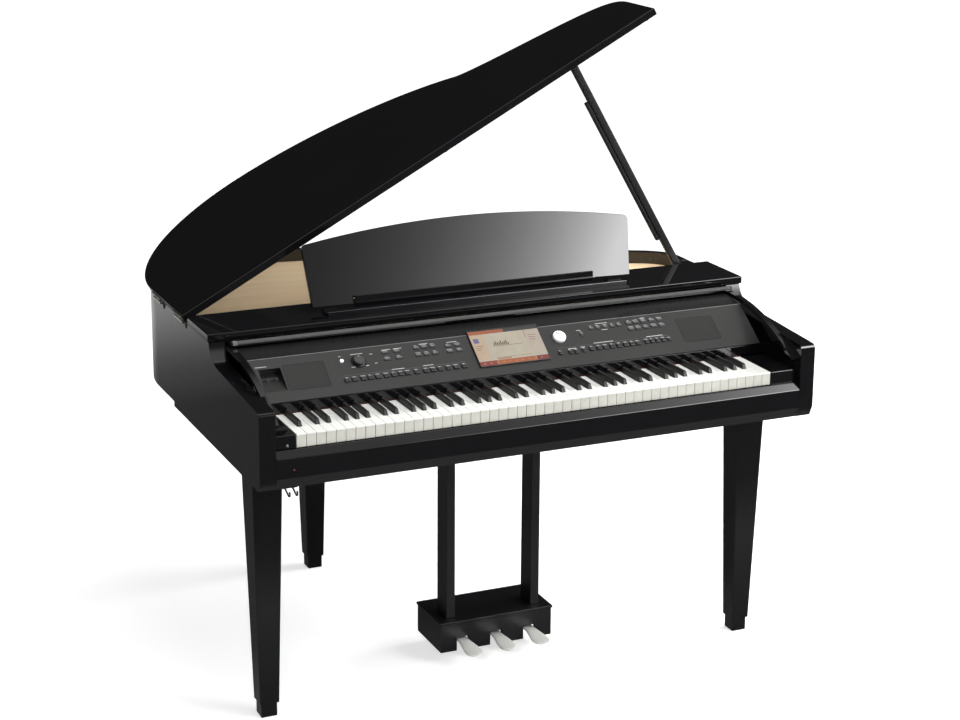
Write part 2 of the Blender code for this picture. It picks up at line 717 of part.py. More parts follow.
def lid_hinge(which, low, high):
    """A butt hinge of two leaves: the fixed one holds the pin, the other turns with the lid."""
    third = (high - low) / 3
    barrel, pin, bore = 0.0035, 0.0013, 0.0017
    axis = (HINGE_X, 0.0, HINGE_Z)
    fixed = box(f"lid_hinge_{which}", (-CASE_HALF - GAP - 0.0045, -CASE_HALF - GAP), (low, high),
                (0.858, HINGE_Z - 0.0007))
    for start, end in ((low, low + third), (high - third, high)):
        join(fixed, cylinder("barrel", barrel, depth(start), depth(end), axis, "Y", 20, CUTTERS))
    slot = ((-CASE_HALF - 0.010, -CASE_HALF + 0.001), (depth(low + third) - GAP, depth(high - third) + GAP),
            (HINGE_Z - 0.0045, HINGE_Z + 0.0045))
    cut(fixed, boxes("middle_space", [slot], CUTTERS))
    join(fixed, cylinder("pin", pin, depth(low + 0.002), depth(high - 0.002), axis, "Y", 12, CUTTERS))
    metal(fixed)
    leaf = boxes(f"lid_leaf_{which}", [((0.0005, 0.0037), (depth(low), depth(high)), (0.0045, 0.0165))])
    tab = boxes("tab", [((0.0005, 0.0037), (depth(low + third) + 2 * GAP, depth(high - third) - 2 * GAP),
                         (0.0, 0.006))], CUTTERS)
    join(leaf, tab)
    knuckle = cylinder("knuckle", barrel, depth(low + third) + 2 * GAP, depth(high - third) - 2 * GAP, (0, 0, 0),
                       "Y", 20, CUTTERS)
    join(leaf, knuckle)
    hole = cylinder("bore", bore, depth(low), depth(high), (0, 0, 0), "Y", 12, CUTTERS)
    cut(leaf, hole)
    for obj in (leaf, tab, knuckle, hole):
        obj.location = (HINGE_X, 0.0, HINGE_Z)
        obj.rotation_euler = (0.0, -LID_ANGLE, 0.0)
    metal(leaf)


def prop_length():
    """Distance from the prop's foot to the lid's underside along the leaning prop."""
    slope = math.tan(LID_ANGLE)
    rise = HINGE_Z - PROP_BASE[1] + (PROP_BASE[0] - HINGE_X) * slope
    return rise / (math.cos(PROP_LEAN) + math.sin(PROP_LEAN) * slope)


def prop_axes(start=0.0, aside=0.0):
    """The long prop's own axes: z along it, x to its right. Start and aside move the origin in them."""
    base = Matrix.Translation((PROP_BASE[0], depth(PROP_PLACE), PROP_BASE[1]))
    return base @ Matrix.Rotation(-PROP_LEAN, 4, "Y") @ Matrix.Translation((aside, 0, start))


def props():
    """The bracket on the inner board, the long prop and the short prop folded along it."""
    half, deep = PROP_WIDTH / 2, PROP_DEPTH / 2
    y = depth(PROP_PLACE)
    base = SOUNDBOARD_TOP + GAP
    cheek = 0.003
    cheeks = [((PROP_BASE[0] - 0.012, PROP_BASE[0] + 0.012), (y + s * (deep + 0.0005) - cheek * (s < 0),
               y + s * (deep + 0.0005) + cheek * (s > 0)), (base + 0.002, PROP_BASE[1] + 0.008)) for s in (-1, 1)]
    bracket = boxes("prop_bracket", [((PROP_BASE[0] - 0.022, PROP_BASE[0] + 0.022), (y - 0.0110, y + 0.0130),
                                      (base, base + 0.0035))])
    join(bracket, boxes("bracket_cheeks", cheeks, CUTTERS))
    metal(bracket)
    top = prop_length() - half * abs(math.tan(PROP_LEAN - LID_ANGLE)) - 2 * GAP
    stick = boxes("lid_prop", [((-half, half), (-deep, deep), (-0.012, top))])
    bevel(stick, 0.003, 2)
    stick.matrix_world = prop_axes()
    black_polish(stick)
    wide = SHORT_PROP_WIDTH
    aside = -half - wide / 2 - 2 * GAP
    short = boxes("short_prop", [((-wide / 2, wide / 2), (-0.006, 0.006), (-0.002, SHORT_PROP_LENGTH))])
    bevel(short, 0.0015, 1)
    short.matrix_world = prop_axes(SHORT_PROP_START, aside)
    black_polish(short)


def rest_outline():
    """The music rest seen square on: arched top, round corners and a long notch below."""
    notch_half, notch_high, small = 0.324, 0.016, 0.006
    top_half = REST_HALF + REST_FLARE
    corner = 0.012
    rise = REST_MIDDLE - REST_CORNER
    radius = (top_half ** 2 + rise ** 2) / (2 * rise)
    sweep = math.asin((top_half - corner) / radius)
    crown = arc((0.0, REST_MIDDLE - radius), radius, math.pi / 2 - sweep, math.pi / 2 + sweep, 24)
    right = [(notch_half + small, 0.0), (REST_HALF, 0.0), (top_half - 0.001, REST_CORNER - 0.010),
             (top_half - 0.003, REST_CORNER - 0.003)]
    left = [(-x, y) for x, y in reversed(right)]
    left_notch = [(-notch_half, small), (-notch_half, notch_high - small), (-notch_half + small, notch_high)]
    return right + crown + left + left_notch + [(-x, y) for x, y in reversed(left_notch)]


def rest_axes(up=0.0, back=0.0):
    """The music rest's own axes: x across, y up the board, z out of its front."""
    hinge = Matrix.Translation((0, depth(REST_HINGE[0]), REST_HINGE[1]))
    return hinge @ Matrix.Rotation(REST_ANGLE, 4, "X") @ Matrix.Translation((0, up, -back))


def music_rest():
    """The rest, the stay folded out behind it, and the ledge that carries both."""
    half = REST_THICKNESS / 2
    board = prism("music_rest", rest_outline(), -half, half)
    bevel(board, 0.001, 1, 50)
    board.matrix_world = rest_axes()
    black_polish(board)
    pivot = rest_axes(STAY_PIVOT, STAY_BACK).translation
    foot_height = TOP_BOARD_TOP + 0.0022
    tilt = math.acos((pivot.z - foot_height) / STAY_LENGTH)
    stay = boxes("music_rest_stay", [((-0.030, 0.030), (-0.0015, 0.0015), (-STAY_LENGTH, 0.0015))])
    cut(stay, boxes("stay_window", [((-0.018, 0.018), (-0.01, 0.01), (-STAY_LENGTH + 0.015, -0.015))], CUTTERS))
    for obj in (stay, stay.modifiers[0].object):
        obj.location = pivot
        obj.rotation_euler = (tilt, 0.0, 0.0)
    metal(stay)
    low = TOP_BOARD_TOP + GAP
    outline = [(0.405, low), (0.405, low + 0.0085), (0.4085, low + 0.0085), (0.4095, low + 0.004),
               (0.437, low + 0.004), (0.437, low)]
    ledge = prism("music_rest_ledge", [(depth(d), z) for d, z in outline], -0.403, 0.403, "X")
    knuckles = [((s * 0.385 - 0.018, s * 0.385 + 0.018), (depth(0.436), depth(0.453)), (low, low + 0.0072))
                for s in (-1, 1)]
    join(ledge, boxes("rest_knuckles", knuckles, CUTTERS))
    return dress(ledge, (0.05, 0.05, 0.052), 0.25)


def key_cover():
    """The curved cover that slides out from under the top board along its two ledges."""
    centre = (depth(COVER_AXIS[0]), COVER_AXIS[1])
    front, rear = math.pi / 2 + math.radians(0.6), math.pi / 2 - COVER_SWEEP
    inner = COVER_RADIUS - COVER_THICKNESS
    outline = arc(centre, COVER_RADIUS, front, rear, 18) + arc(centre, inner, rear, front, 18)
    cover = prism("key_cover", outline, -COVER_HALF - 0.010, COVER_HALF + 0.010, "X")
    set_origin(cover, (0.0, *centre))
    return black_polish(cover)


def add_taper(bm, centre, top_size, low_size, top, low):
    """Add a square stick that tapers downwards."""
    rings = []
    for (width, deep), z in ((low_size, low), (top_size, top)):
        x, y = width / 2, deep / 2
        rings.append([bm.verts.new((centre[0] + a * x, centre[1] + b * y, z))
                      for a, b in ((-1, -1), (1, -1), (1, 1), (-1, 1))])
    for i in range(4):
        j = (i + 1) % 4
        bm.faces.new((rings[0][i], rings[0][j], rings[1][j], rings[1][i]))
    bm.faces.new(rings[0])
    bm.faces.new(rings[1])


def leg(name, x, place):
    """A square leg that tapers to a smaller foot, with a block on top that bears on the bottom board."""
    centre = (x, depth(place))
    bm = bmesh.new()
    add_taper(bm, centre, LEG_TOP_SIZE, LEG_END_SIZE, CASE_BOTTOM - GAP, FOOT_HEIGHT)
    obj = object_from(bm, name)
    ends = []
    for size, low, high in ((FOOT_SIZE, 0.0, FOOT_HEIGHT + 0.001),
                            (LEG_HEAD, CASE_BOTTOM - 0.001, FLOOR_BOTTOM - GAP)):
        half = size / 2
        ends.append(((x - half, x + half), (centre[1] - half, centre[1] + half), (low, high)))
    join(obj, boxes(name + "_ends", ends, CUTTERS))
    return black_polish(bevel(obj, 0.0012, 1, 30))


def pedal_box():
    """The box that hangs on the two posts, open below, with a slot for each pedal."""
    half, front, rear, low, high = PEDAL_BOX
    wall = 0.012
    body = box("pedal_box", (-half, half), (front, rear), (low, high))
    cut(body, boxes("box_inside", [((-half + wall, half - wall), (depth(front + wall), depth(rear - wall)),
                                    (low - 0.01, high + 0.01))], CUTTERS))
    slot = PEDAL_SLOT[0] / 2
    slots = [((PEDAL_PITCH * i - slot, PEDAL_PITCH * i + slot),
              (depth(front - 0.01), depth(front + wall + 0.01)), (low - 0.01, low + PEDAL_SLOT[1]))
             for i in (-1, 0, 1)]
    cut(body, boxes("pedal_slots", slots, CUTTERS))
    bars = [((-half + wall / 2, half - wall / 2), (depth(0.408), depth(0.440)), (0.0515, 0.0700)),
            ((0.036, 0.056), (depth(front + wall / 2), depth(rear - wall / 2)), (0.062, 0.090))]
    join(body, boxes("pedal_bars", bars, CUTTERS))
    foot = (0.046, depth(0.340), 0)
    join(body, cylinder("adjuster", 0.011, 0.0, 0.075, foot, segments=20, collection=CUTTERS))
    black_polish(body)
    plate = box("pedal_box_top", (-half - 0.003, half + 0.003), (front - 0.0025, rear + 0.0025),
                (high + GAP, PEDAL_PLATE_TOP))
    return black_polish(bevel(plate, 0.001, 1))


def pedal(name, x):
    """A pedal: a long lever whose blade widens to a round tip."""
    tip, neck, rear = depth(PEDAL_TIP), depth(0.308), depth(0.436)
    wide, narrow = 0.0185, 0.0115
    blade = arc((x, tip + wide), wide, math.pi, 2 * math.pi, 12)
    start, end = (x + wide, tip + wide), (x + narrow, neck)
    right = bezier(start, (x + wide, tip + 0.045), (x + narrow, neck - 0.025), end, 6)
    outline = blade[:-1] + right + [(x + narrow, rear), (x - narrow, rear)]
    outline += [(2 * x - px, py) for px, py in reversed(right[1:] + [(x + narrow, neck)])]
    lever = prism(name, outline, 0.0410, 0.0480)
    set_origin(lever, (x, depth(PEDAL_AXIS[0]), PEDAL_AXIS[1]))
    return metal(bevel(lever, 0.0015, 2, 50))


def stand():
    """Legs, pedal posts, pedal box and pedals."""
    leg("front_left_leg", -LEG_X, LEG_PLACE)
    leg("front_right_leg", LEG_X, LEG_PLACE)
    leg("rear_leg", *REAR_LEG)
    half_x, half_d = POST_SIZE[0] / 2, POST_SIZE[1] / 2
    for name, x in (("left_pedal_post", -POST_X), ("right_pedal_post", POST_X)):
        post = box(name, (x - half_x, x + half_x), (POST_PLACE - half_d, POST_PLACE + half_d),
                   (PEDAL_PLATE_TOP + GAP, FLOOR_BOTTOM - GAP))
        black_polish(bevel(post, 0.001, 1))
    pedal_box()
    for name, i in (("left_pedal", -1), ("middle_pedal", 0), ("right_pedal", 1)):
        pedal(name, PEDAL_PITCH * i)


def headphone_box():
    """The socket box under the case, with two curled prongs to hang headphones on."""
    top = FLOOR_BOTTOM - GAP
    body = box("headphone_box", (-0.661, -0.609), (0.052, 0.112), (top - 0.022, top))
    for x in (-0.642, -0.624):
        curve = bpy.data.curves.new("prong", "CURVE")
        curve.dimensions = "3D"
        curve.bevel_depth = 0.0022
        curve.bevel_resolution = 2
        curve.use_fill_caps = True
        spline = curve.splines.new("POLY")
        drop = top - 0.016
        path = [(0.058, drop), (0.040, drop - 0.002), (0.028, drop - 0.007), (0.018, drop - 0.011),
                (0.011, drop - 0.010), (0.008, drop - 0.004), (0.011, drop + 0.001)]
        spline.points.add(len(path) - 1)
        for point, (d, z) in zip(spline.points, path):
            point.co = (x, depth(d), z, 1.0)
        holder = bpy.data.objects.new("prong_path", curve)
        PIECES.objects.link(holder)
        bpy.context.view_layer.update()
        mesh = bpy.data.meshes.new_from_object(holder.evaluated_get(bpy.context.evaluated_depsgraph_get()))
        bpy.data.objects.remove(holder, do_unlink=True)
        bm = bmesh.new()
        bm.from_mesh(mesh)
        bmesh.ops.remove_doubles(bm, verts=bm.verts, dist=0.00005)
        join(body, object_from(bm, "prong", CUTTERS))
    return satin_black(body)


def build():
    """Make every piece."""
    for side in (-1, 1):
        side_panel(side)
    curved_rim()
    bottom_board()
    soundboard()
    key_slip()
    key_block("left_key_block", -INNER_HALF + GAP, KEYS_LEFT - 0.0005)
    key_block("right_key_block", KEYS_RIGHT + 0.0005, INNER_HALF - GAP)
    name_board()
    top_board()
    fixed_keys()
    moving_keys()
    control_panel()
    button_strip("left_buttons", -1)
    button_strip("right_buttons", 1)
    grille("left_speaker_grille", LEFT_GRILLE)
    grille("right_speaker_grille", RIGHT_GRILLE)
    display_screen()
    panel_knob("power_button", *POWER_BUTTON, 0.0025, (0.85, 0.85, 0.85), 0.3, low=-0.0015)
    panel_knob("volume_knob", -0.390, 0.0890, 0.0160, 0.013, (0.62, 0.62, 0.60), 0.25, 1.0)
    panel_knob("data_dial", 0.1316, 0.0900, 0.0165, 0.008, (0.80, 0.80, 0.80), 0.2, 1.0)
    key_cover()
    lid()
    lid_hinge("front", 0.552, 0.622)
    lid_hinge("rear", 0.745, 0.808)
    props()
    music_rest()
    stand()
    headphone_box()
    woofer("left_woofer", -1)
    woofer("right_woofer", 1)
    circuit_board()
    power_inlet()
    for obj in PIECES.objects:
        obj.data.shade_smooth()
        obj.data.set_sharp_from_angle(angle=math.radians(35))


build()
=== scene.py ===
"""Looks of the digital grand piano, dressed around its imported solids.

Units are metres. The keyboard runs along x, the player sits towards -y and the floor is z = 0.
Places along the depth are written as distances behind the front faces of the two arms.
"""

import logging
import math
from dataclasses import dataclass, field
from enum import Enum
from typing import Iterable, Sequence

import bmesh
import bpy
from mathutils import Matrix, Vector
from mathutils.geometry import interpolate_bezier


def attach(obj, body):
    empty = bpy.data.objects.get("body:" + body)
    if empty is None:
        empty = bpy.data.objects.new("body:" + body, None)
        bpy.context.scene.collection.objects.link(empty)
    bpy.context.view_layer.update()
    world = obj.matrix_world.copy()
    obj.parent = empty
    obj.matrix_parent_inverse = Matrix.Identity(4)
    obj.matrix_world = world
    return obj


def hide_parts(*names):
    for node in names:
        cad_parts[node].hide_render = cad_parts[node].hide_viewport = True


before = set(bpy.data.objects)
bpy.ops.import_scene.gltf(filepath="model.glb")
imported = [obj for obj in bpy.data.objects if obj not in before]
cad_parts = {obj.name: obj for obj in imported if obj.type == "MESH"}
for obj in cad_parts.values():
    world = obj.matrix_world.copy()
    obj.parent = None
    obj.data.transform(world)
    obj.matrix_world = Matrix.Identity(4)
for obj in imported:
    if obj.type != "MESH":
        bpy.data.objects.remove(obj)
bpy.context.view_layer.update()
LOG = logging.getLogger("piano")

Point2 = tuple[float, float]
Point3 = tuple[float, float, float]
Colour = tuple[float, float, float]
Area = tuple[float, float, float, float]

FRONT_Y = -0.5925            # the arm fronts
CASE_HALF = 0.714
TOP_HALF = 0.7175
GAP = 0.0003
KEY_PITCH = 0.0235
KEYS_LEFT = -0.621
KEYS_RIGHT = 0.601
WHITE_COUNT = 52


def depth(distance: float) -> float:
    """Turn a distance behind the arm fronts into a y coordinate."""
    return FRONT_Y + distance


class Slot(Enum):
    """Material slots of the record."""

    POLISH = "polished_black"
    SATIN = "satin_black"
    WOOD = "soundboard_wood"
    PANEL = "panel_grey"
    DISPLAY = "display"
    GRILLE = "grille_grey"
    BUTTON = "button_grey"
    LIGHT_BUTTON = "button_white"
    SILVER = "knob_silver"
    WHITE_KEY = "white_key"
    BLACK_KEY = "black_key"
    HINGE = "hinge_metal"
    LEDGE = "ledge_grey"
    PEDAL = "pedal_metal"
    CIRCUIT = "circuit_green"


class Axis(Enum):
    """Direction in which a flat outline is extruded."""

    X = "X"
    Z = "Z"


# Node groups shared by several materials


class Group:
    """A shader node group under construction."""

    def __init__(self, name: str) -> None:
        """Start an empty group.

        Args:
            name: Name of the group.
        """
        self.tree = bpy.data.node_groups.new(name, "ShaderNodeTree")
        self.entry = self.tree.nodes.new("NodeGroupInput")
        self.exit = self.tree.nodes.new("NodeGroupOutput")

    def takes(self, name: str, kind: str, value: float | tuple) -> "Group":
        """Add an input socket.

        Args:
            name: Name of the socket.
            kind: Float, Color or Vector.
            value: Default of the socket.

        Returns:
            The group itself.
        """
        socket = self.tree.interface.new_socket(name, in_out="INPUT", socket_type=f"NodeSocket{kind}")
        socket.default_value = value
        return self

    def gives(self, name: str, kind: str) -> "Group":
        """Add an output socket and return the group."""
        self.tree.interface.new_socket(name, in_out="OUTPUT", socket_type=f"NodeSocket{kind}")
        return self

    def taken(self, name: str) -> bpy.types.NodeSocket:
        """The socket that brings an input into the group."""
        return self.entry.outputs[name]


def feed(node: bpy.types.Node, inputs: dict) -> None:
    """Set inputs of a node, by name or index, to values, or join them to sockets."""
    for name, value in inputs.items():
        if isinstance(value, bpy.types.NodeSocket):
            node.id_data.links.new(value, node.inputs[name])
        else:
            node.inputs[name].default_value = value


def add_node(tree: bpy.types.NodeTree, kind: str, inputs: dict | None = None,
             **settings: object) -> bpy.types.Node:
    """Add a node with its settings and inputs.

    Args:
        tree: Tree that takes the node.
        kind: Node type without its ShaderNode prefix.
        inputs: Values or sockets by input name or index.
        settings: Properties of the node.

    Returns:
        The new node.
    """
    node = tree.nodes.new("ShaderNode" + kind)
    for name, value in settings.items():
        setattr(node, name, value)
    feed(node, inputs or {})
    return node


def ramp(tree: bpy.types.NodeTree, value: bpy.types.NodeSocket,
         stops: Sequence[tuple[float, Colour]]) -> bpy.types.NodeSocket:
    """Colour of a ramp at a value."""
    node = add_node(tree, "ValToRGB", {0: value})
    elements = node.color_ramp.elements
    while len(elements) < len(stops):
        elements.new(1.0)
    for element, (place, colour) in zip(elements, stops):
        element.position = place
        element.color = (*colour, 1.0)
    return node.outputs[0]


def compute(tree: bpy.types.NodeTree, operation: str, *values: object) -> bpy.types.NodeSocket:
    """Result of a math node on numbers and sockets."""
    return add_node(tree, "Math", dict(enumerate(values)), operation=operation).outputs[0]


def mix_colours(tree: bpy.types.NodeTree, factor: object, first: object,
                second: object) -> bpy.types.NodeSocket:
    """Result of a colour mix."""
    return add_node(tree, "Mix", {"Factor": factor, 6: first, 7: second}, data_type="RGBA").outputs[2]


def remap(tree: bpy.types.NodeTree, value: bpy.types.NodeSocket, span: Sequence[object],
          to: Sequence[object] = (0.0, 1.0), smooth: bool = False) -> bpy.types.NodeSocket:
    """Carry a value from one range to another and keep it within that."""
    return add_node(tree, "MapRange", {"Value": value, "From Min": span[0], "From Max": span[1],
                                       "To Min": to[0], "To Max": to[1]},
                    interpolation_type="SMOOTHSTEP" if smooth else "LINEAR").outputs["Result"]


def noise(tree: bpy.types.NodeTree, space: bpy.types.NodeSocket, scale: object, detail: float,
          **more: float) -> bpy.types.NodeSocket:
    """Value of a noise texture in a space."""
    return add_node(tree, "TexNoise", {"Vector": space, "Scale": scale, "Detail": detail,
                                       **more}).outputs["Fac"]


def components(tree: bpy.types.NodeTree, vector: bpy.types.NodeSocket) -> bpy.types.bpy_prop_collection:
    """The x, y and z sockets of a vector."""
    return add_node(tree, "SeparateXYZ", {0: vector}).outputs


def texture_space(group: Group) -> bpy.types.NodeSocket:
    """Object coordinates times the group's Stretch input."""
    place = add_node(group.tree, "TexCoord").outputs["Object"]
    stretched = add_node(group.tree, "VectorMath", {0: place, 1: group.taken("Stretch")},
                         operation="MULTIPLY")
    return stretched.outputs[0]


def make_surface_group() -> bpy.types.NodeTree:
    """Fine unevenness of a moulded or sprayed surface: a roughness and a height that vary."""
    group = Group("fine_surface")
    group.takes("Stretch", "Vector", (1.0, 1.0, 1.0)).takes("Grain", "Float", 400.0).takes("Cloud", "Float",
                                                                                           9.0)
    group.takes("Low", "Float", 0.1).takes("High", "Float", 0.2)
    group.gives("Roughness", "Float").gives("Height", "Float").gives("Cloud", "Float")
    tree, space = group.tree, texture_space(group)
    grain = noise(tree, space, group.taken("Grain"), 3.0)
    cloud = noise(tree, space, group.taken("Cloud"), 4.0, Roughness=0.6)
    roughness = remap(tree, cloud, (0.35, 0.68), (group.taken("Low"), group.taken("High")))
    feed(group.exit, {"Roughness": roughness, "Height": grain, "Cloud": cloud})
    return tree


def make_dust_group() -> bpy.types.NodeTree:
    """Thin dust on what faces up: lightens a colour where the surface is level."""
    group = Group("settled_dust")
    group.takes("Color", "Color", (0.0, 0.0, 0.0, 1.0)).takes("Dust", "Color", (0.35, 0.33, 0.30, 1.0))
    group.takes("Amount", "Float", 0.02).gives("Color", "Color")
    tree = group.tree
    level = remap(tree, components(tree, add_node(tree, "NewGeometry").outputs["Normal"])["Z"], (0.6, 1.0))
    place = add_node(tree, "TexCoord").outputs["Object"]
    specks = remap(tree, noise(tree, place, 260.0, 2.0), (0.55, 0.75))
    patchy = compute(tree, "MULTIPLY_ADD", specks, noise(tree, place, 5.0, 3.0), 0.15)
    strength = compute(tree, "MULTIPLY", compute(tree, "MULTIPLY", patchy, level), group.taken("Amount"))
    feed(group.exit, {"Color": mix_colours(tree, strength, group.taken("Color"), group.taken("Dust"))})
    return tree


def make_grain_group() -> bpy.types.NodeTree:
    """Spruce grain: long pale and dark streaks with broad warm clouds."""
    group = Group("spruce_grain")
    group.takes("Pale", "Color", (0.6, 0.5, 0.4, 1.0)).takes("Dark", "Color", (0.5, 0.35, 0.2, 1.0))
    group.takes("Warm", "Color", (0.6, 0.4, 0.3, 1.0)).takes("Stretch", "Vector", (1.0, 12.0, 1.0))
    group.takes("Scale", "Float", 6.0).gives("Color", "Color")
    tree = group.tree
    streaks = noise(tree, texture_space(group), group.taken("Scale"), 8.0, Roughness=0.62, Distortion=0.35)
    wood = mix_colours(tree, remap(tree, streaks, (0.33, 0.66)), group.taken("Dark"), group.taken("Pale"))
    clouds = noise(tree, add_node(tree, "TexCoord").outputs["Object"], 3.2, 2.0)
    warmth = remap(tree, clouds, (0.45, 0.70), (0.0, 0.7))
    feed(group.exit, {"Color": mix_colours(tree, warmth, wood, group.taken("Warm"))})
    return tree


def make_cloth_group() -> bpy.types.NodeTree:
    """Woven speaker cloth: a colour and a height from two crossed waves."""
    group = Group("speaker_cloth")
    group.takes("Thread", "Color", (0.08, 0.08, 0.08, 1.0)).takes("Hollow", "Color", (0.01, 0.01, 0.01, 1.0))
    group.takes("Scale", "Float", 300.0).takes("Stretch", "Vector", (1.0, 1.0, 1.0))
    group.gives("Color", "Color").gives("Height", "Float")
    tree, space = group.tree, texture_space(group)
    waves = [add_node(tree, "TexWave", {"Vector": space, "Scale": group.taken("Scale"), "Distortion": 0.4,
                                        "Detail": 1.0}, bands_direction=direction).outputs["Fac"]
             for direction in ("X", "Y")]
    cross = compute(tree, "MULTIPLY", *waves)
    feed(group.exit, {"Color": mix_colours(tree, cross, group.taken("Hollow"), group.taken("Thread")),
                      "Height": cross})
    return tree


GROUPS = {"surface": make_surface_group(), "dust": make_dust_group(), "grain": make_grain_group(),
          "cloth": make_cloth_group()}


# Finishes


@dataclass(frozen=True)
class Finish:
    """A finish with fine unevenness and dust, the base of all others."""

    name: str
    slot: Slot
    colour: Colour
    roughness: tuple[float, float] = (0.2, 0.3)
    grain: float = 400.0
    cloud: float = 9.0
    bump: float = 0.02
    bump_depth: float = 0.0002
    stretch: Point3 = (1.0, 1.0, 1.0)
    dust: float = 0.02
    shade: float = 0.10
    fixed: tuple[tuple[str, float], ...] = ()

    def surface(self, tree: bpy.types.NodeTree) -> bpy.types.Node:
        """Place the fine surface group with this finish's values."""
        return add_node(tree, "Group", {"Stretch": self.stretch, "Grain": self.grain, "Cloud": self.cloud,
                                        "Low": self.roughness[0], "High": self.roughness[1]},
                        node_tree=GROUPS["surface"])

    def base_colour(self, tree: bpy.types.NodeTree, surface: bpy.types.Node) -> bpy.types.NodeSocket:
        """Colour that drifts a little over the surface.

        Args:
            tree: Tree of the material.
            surface: The placed surface group.

        Returns:
            Socket with the colour before dust.
        """
        darker = tuple(c * (1 - self.shade) for c in self.colour)
        lighter = tuple(min(1.0, c * (1 + self.shade)) for c in self.colour)
        return ramp(tree, surface.outputs["Cloud"], ((0.3, darker), (0.7, lighter)))

    def height(self, tree: bpy.types.NodeTree, surface: bpy.types.Node) -> bpy.types.NodeSocket:
        """Height that feeds the bump."""
        return surface.outputs["Height"]

    def build(self) -> bpy.types.Material:
        """Make the material.

        Returns:
            A material with its Principled shader fed by the groups.
        """
        material = bpy.data.materials.new(self.name)
        material.use_nodes = True
        tree = material.node_tree
        shader = tree.nodes["Principled BSDF"]
        surface = self.surface(tree)
        colour = self.base_colour(tree, surface)
        if self.dust:
            colour = add_node(tree, "Group", {"Amount": self.dust, "Color": colour},
                              node_tree=GROUPS["dust"]).outputs["Color"]
        feed(shader, {"Base Color": colour, "Roughness": surface.outputs["Roughness"], **dict(self.fixed)})
        if self.bump:
            bump = add_node(tree, "Bump", {"Strength": self.bump, "Distance": self.bump_depth,
                                           "Height": self.height(tree, surface)})
            feed(shader, {"Normal": bump.outputs["Normal"]})
        self.extra(tree, shader)
        material.diffuse_color = (*self.colour, 1.0)
        return material

    def extra(self, tree: bpy.types.NodeTree, shader: bpy.types.Node) -> None:
        """Further nodes of a finish, none here."""


@dataclass(frozen=True)
class Wood(Finish):
    """Lacquered spruce."""

    dark: Colour = (0.5, 0.35, 0.2)
    warm: Colour = (0.6, 0.4, 0.3)
    scale: float = 6.0

    def base_colour(self, tree: bpy.types.NodeTree, surface: bpy.types.Node) -> bpy.types.NodeSocket:
        """Colour of the grain group."""
        return add_node(tree, "Group", {"Pale": (*self.colour, 1.0), "Dark": (*self.dark, 1.0),
                                        "Warm": (*self.warm, 1.0), "Stretch": self.stretch,
                                        "Scale": self.scale},
                        node_tree=GROUPS["grain"]).outputs["Color"]


@dataclass(frozen=True)
class Cloth(Finish):
    """Speaker cloth or felt with a woven or matted face."""

    hollow: Colour = (0.01, 0.01, 0.01)
    scale: float = 300.0

    def weave(self, tree: bpy.types.NodeTree) -> bpy.types.Node:
        """Place the cloth group, once per material."""
        for node in tree.nodes:
            if node.type == "GROUP" and node.node_tree == GROUPS["cloth"]:
                return node
        return add_node(tree, "Group", {"Thread": (*self.colour, 1.0), "Hollow": (*self.hollow, 1.0),
                                        "Scale": self.scale, "Stretch": self.stretch},
                                        node_tree=GROUPS["cloth"])

    def base_colour(self, tree: bpy.types.NodeTree, surface: bpy.types.Node) -> bpy.types.NodeSocket:
        """Colour of the weave."""
        return self.weave(tree).outputs["Color"]

    def height(self, tree: bpy.types.NodeTree, surface: bpy.types.Node) -> bpy.types.NodeSocket:
        """Height of the weave."""
        return self.weave(tree).outputs["Height"]


@dataclass(frozen=True)
class Lit(Finish):
    """A finish that glows: a lamp or an area of the display, brighter towards one side."""

    glow: float = 1.0
    first: Colour | None = None
    other: Colour | None = None
    span: tuple[float, float] = (0.0, 1.0)

    def extra(self, tree: bpy.types.NodeTree, shader: bpy.types.Node) -> None:
        """Feed the emission with a fade between two colours along x."""
        across = components(tree, add_node(tree, "TexCoord").outputs["Object"])["X"]
        first = self.first or self.colour
        fade = ramp(tree, remap(tree, across, self.span), ((0.0, first), (1.0, self.other or first)))
        feed(shader, {"Emission Color": fade, "Emission Strength": self.glow})


LACQUER = Finish("black_lacquer", Slot.POLISH, (0.0035, 0.0035, 0.0042), (0.025, 0.055), 55.0, 5.0, 0.012,
                 0.0004, dust=0.008, fixed=(("IOR", 1.5),))
INNER_BLACK = Finish("inner_black", Slot.POLISH, (0.022, 0.019, 0.013), (0.22, 0.34), 120.0, 6.0, 0.03,
                     dust=0.03)
BOX_BLACK = Finish("box_lacquer", Slot.POLISH, (0.0072, 0.0072, 0.0082), (0.30, 0.38), 120.0, 6.0, 0.02,
                   dust=0.0, fixed=(("Specular IOR Level", 0.35),))
PROP_BLACK = Finish("prop_lacquer", Slot.POLISH, (0.009, 0.009, 0.009), (0.34, 0.44), 200.0, 6.0, 0.02,
                    dust=0.0, fixed=(("Specular IOR Level", 0.2),))
SATIN = Finish("satin_black_paint", Slot.SATIN, (0.016, 0.016, 0.016), (0.40, 0.55), 300.0, 8.0, 0.06,
               dust=0.03)
SPRUCE = Wood("spruce_board", Slot.WOOD, (0.90, 0.71, 0.46), (0.46, 0.56), 90.0, 5.0, 0.03, 0.0004,
              stretch=(0.5, 7.0, 1.0), dust=0.0, dark=(0.80, 0.59, 0.36), warm=(0.90, 0.62, 0.40), scale=4.0,
              fixed=(("Specular IOR Level", 0.2),))
PANEL = Finish("panel_plastic", Slot.PANEL, (0.0122, 0.0122, 0.0117), (0.42, 0.52), 1500.0, 6.0, 0.20, 0.0001,
               dust=0.02, shade=0.06)
# Pale grey for the painted highlight along the panel's top edge, and for the dial's dimple.
PANEL_EDGE = Finish("panel_edge", Slot.PANEL, (0.17, 0.175, 0.17), (0.25, 0.35), 900.0, 6.0, 0.05, 0.0001)
BUTTON = Finish("button_rubber", Slot.BUTTON, (0.017, 0.017, 0.017), (0.38, 0.50), 1200.0, 40.0, 0.10, 0.0001)
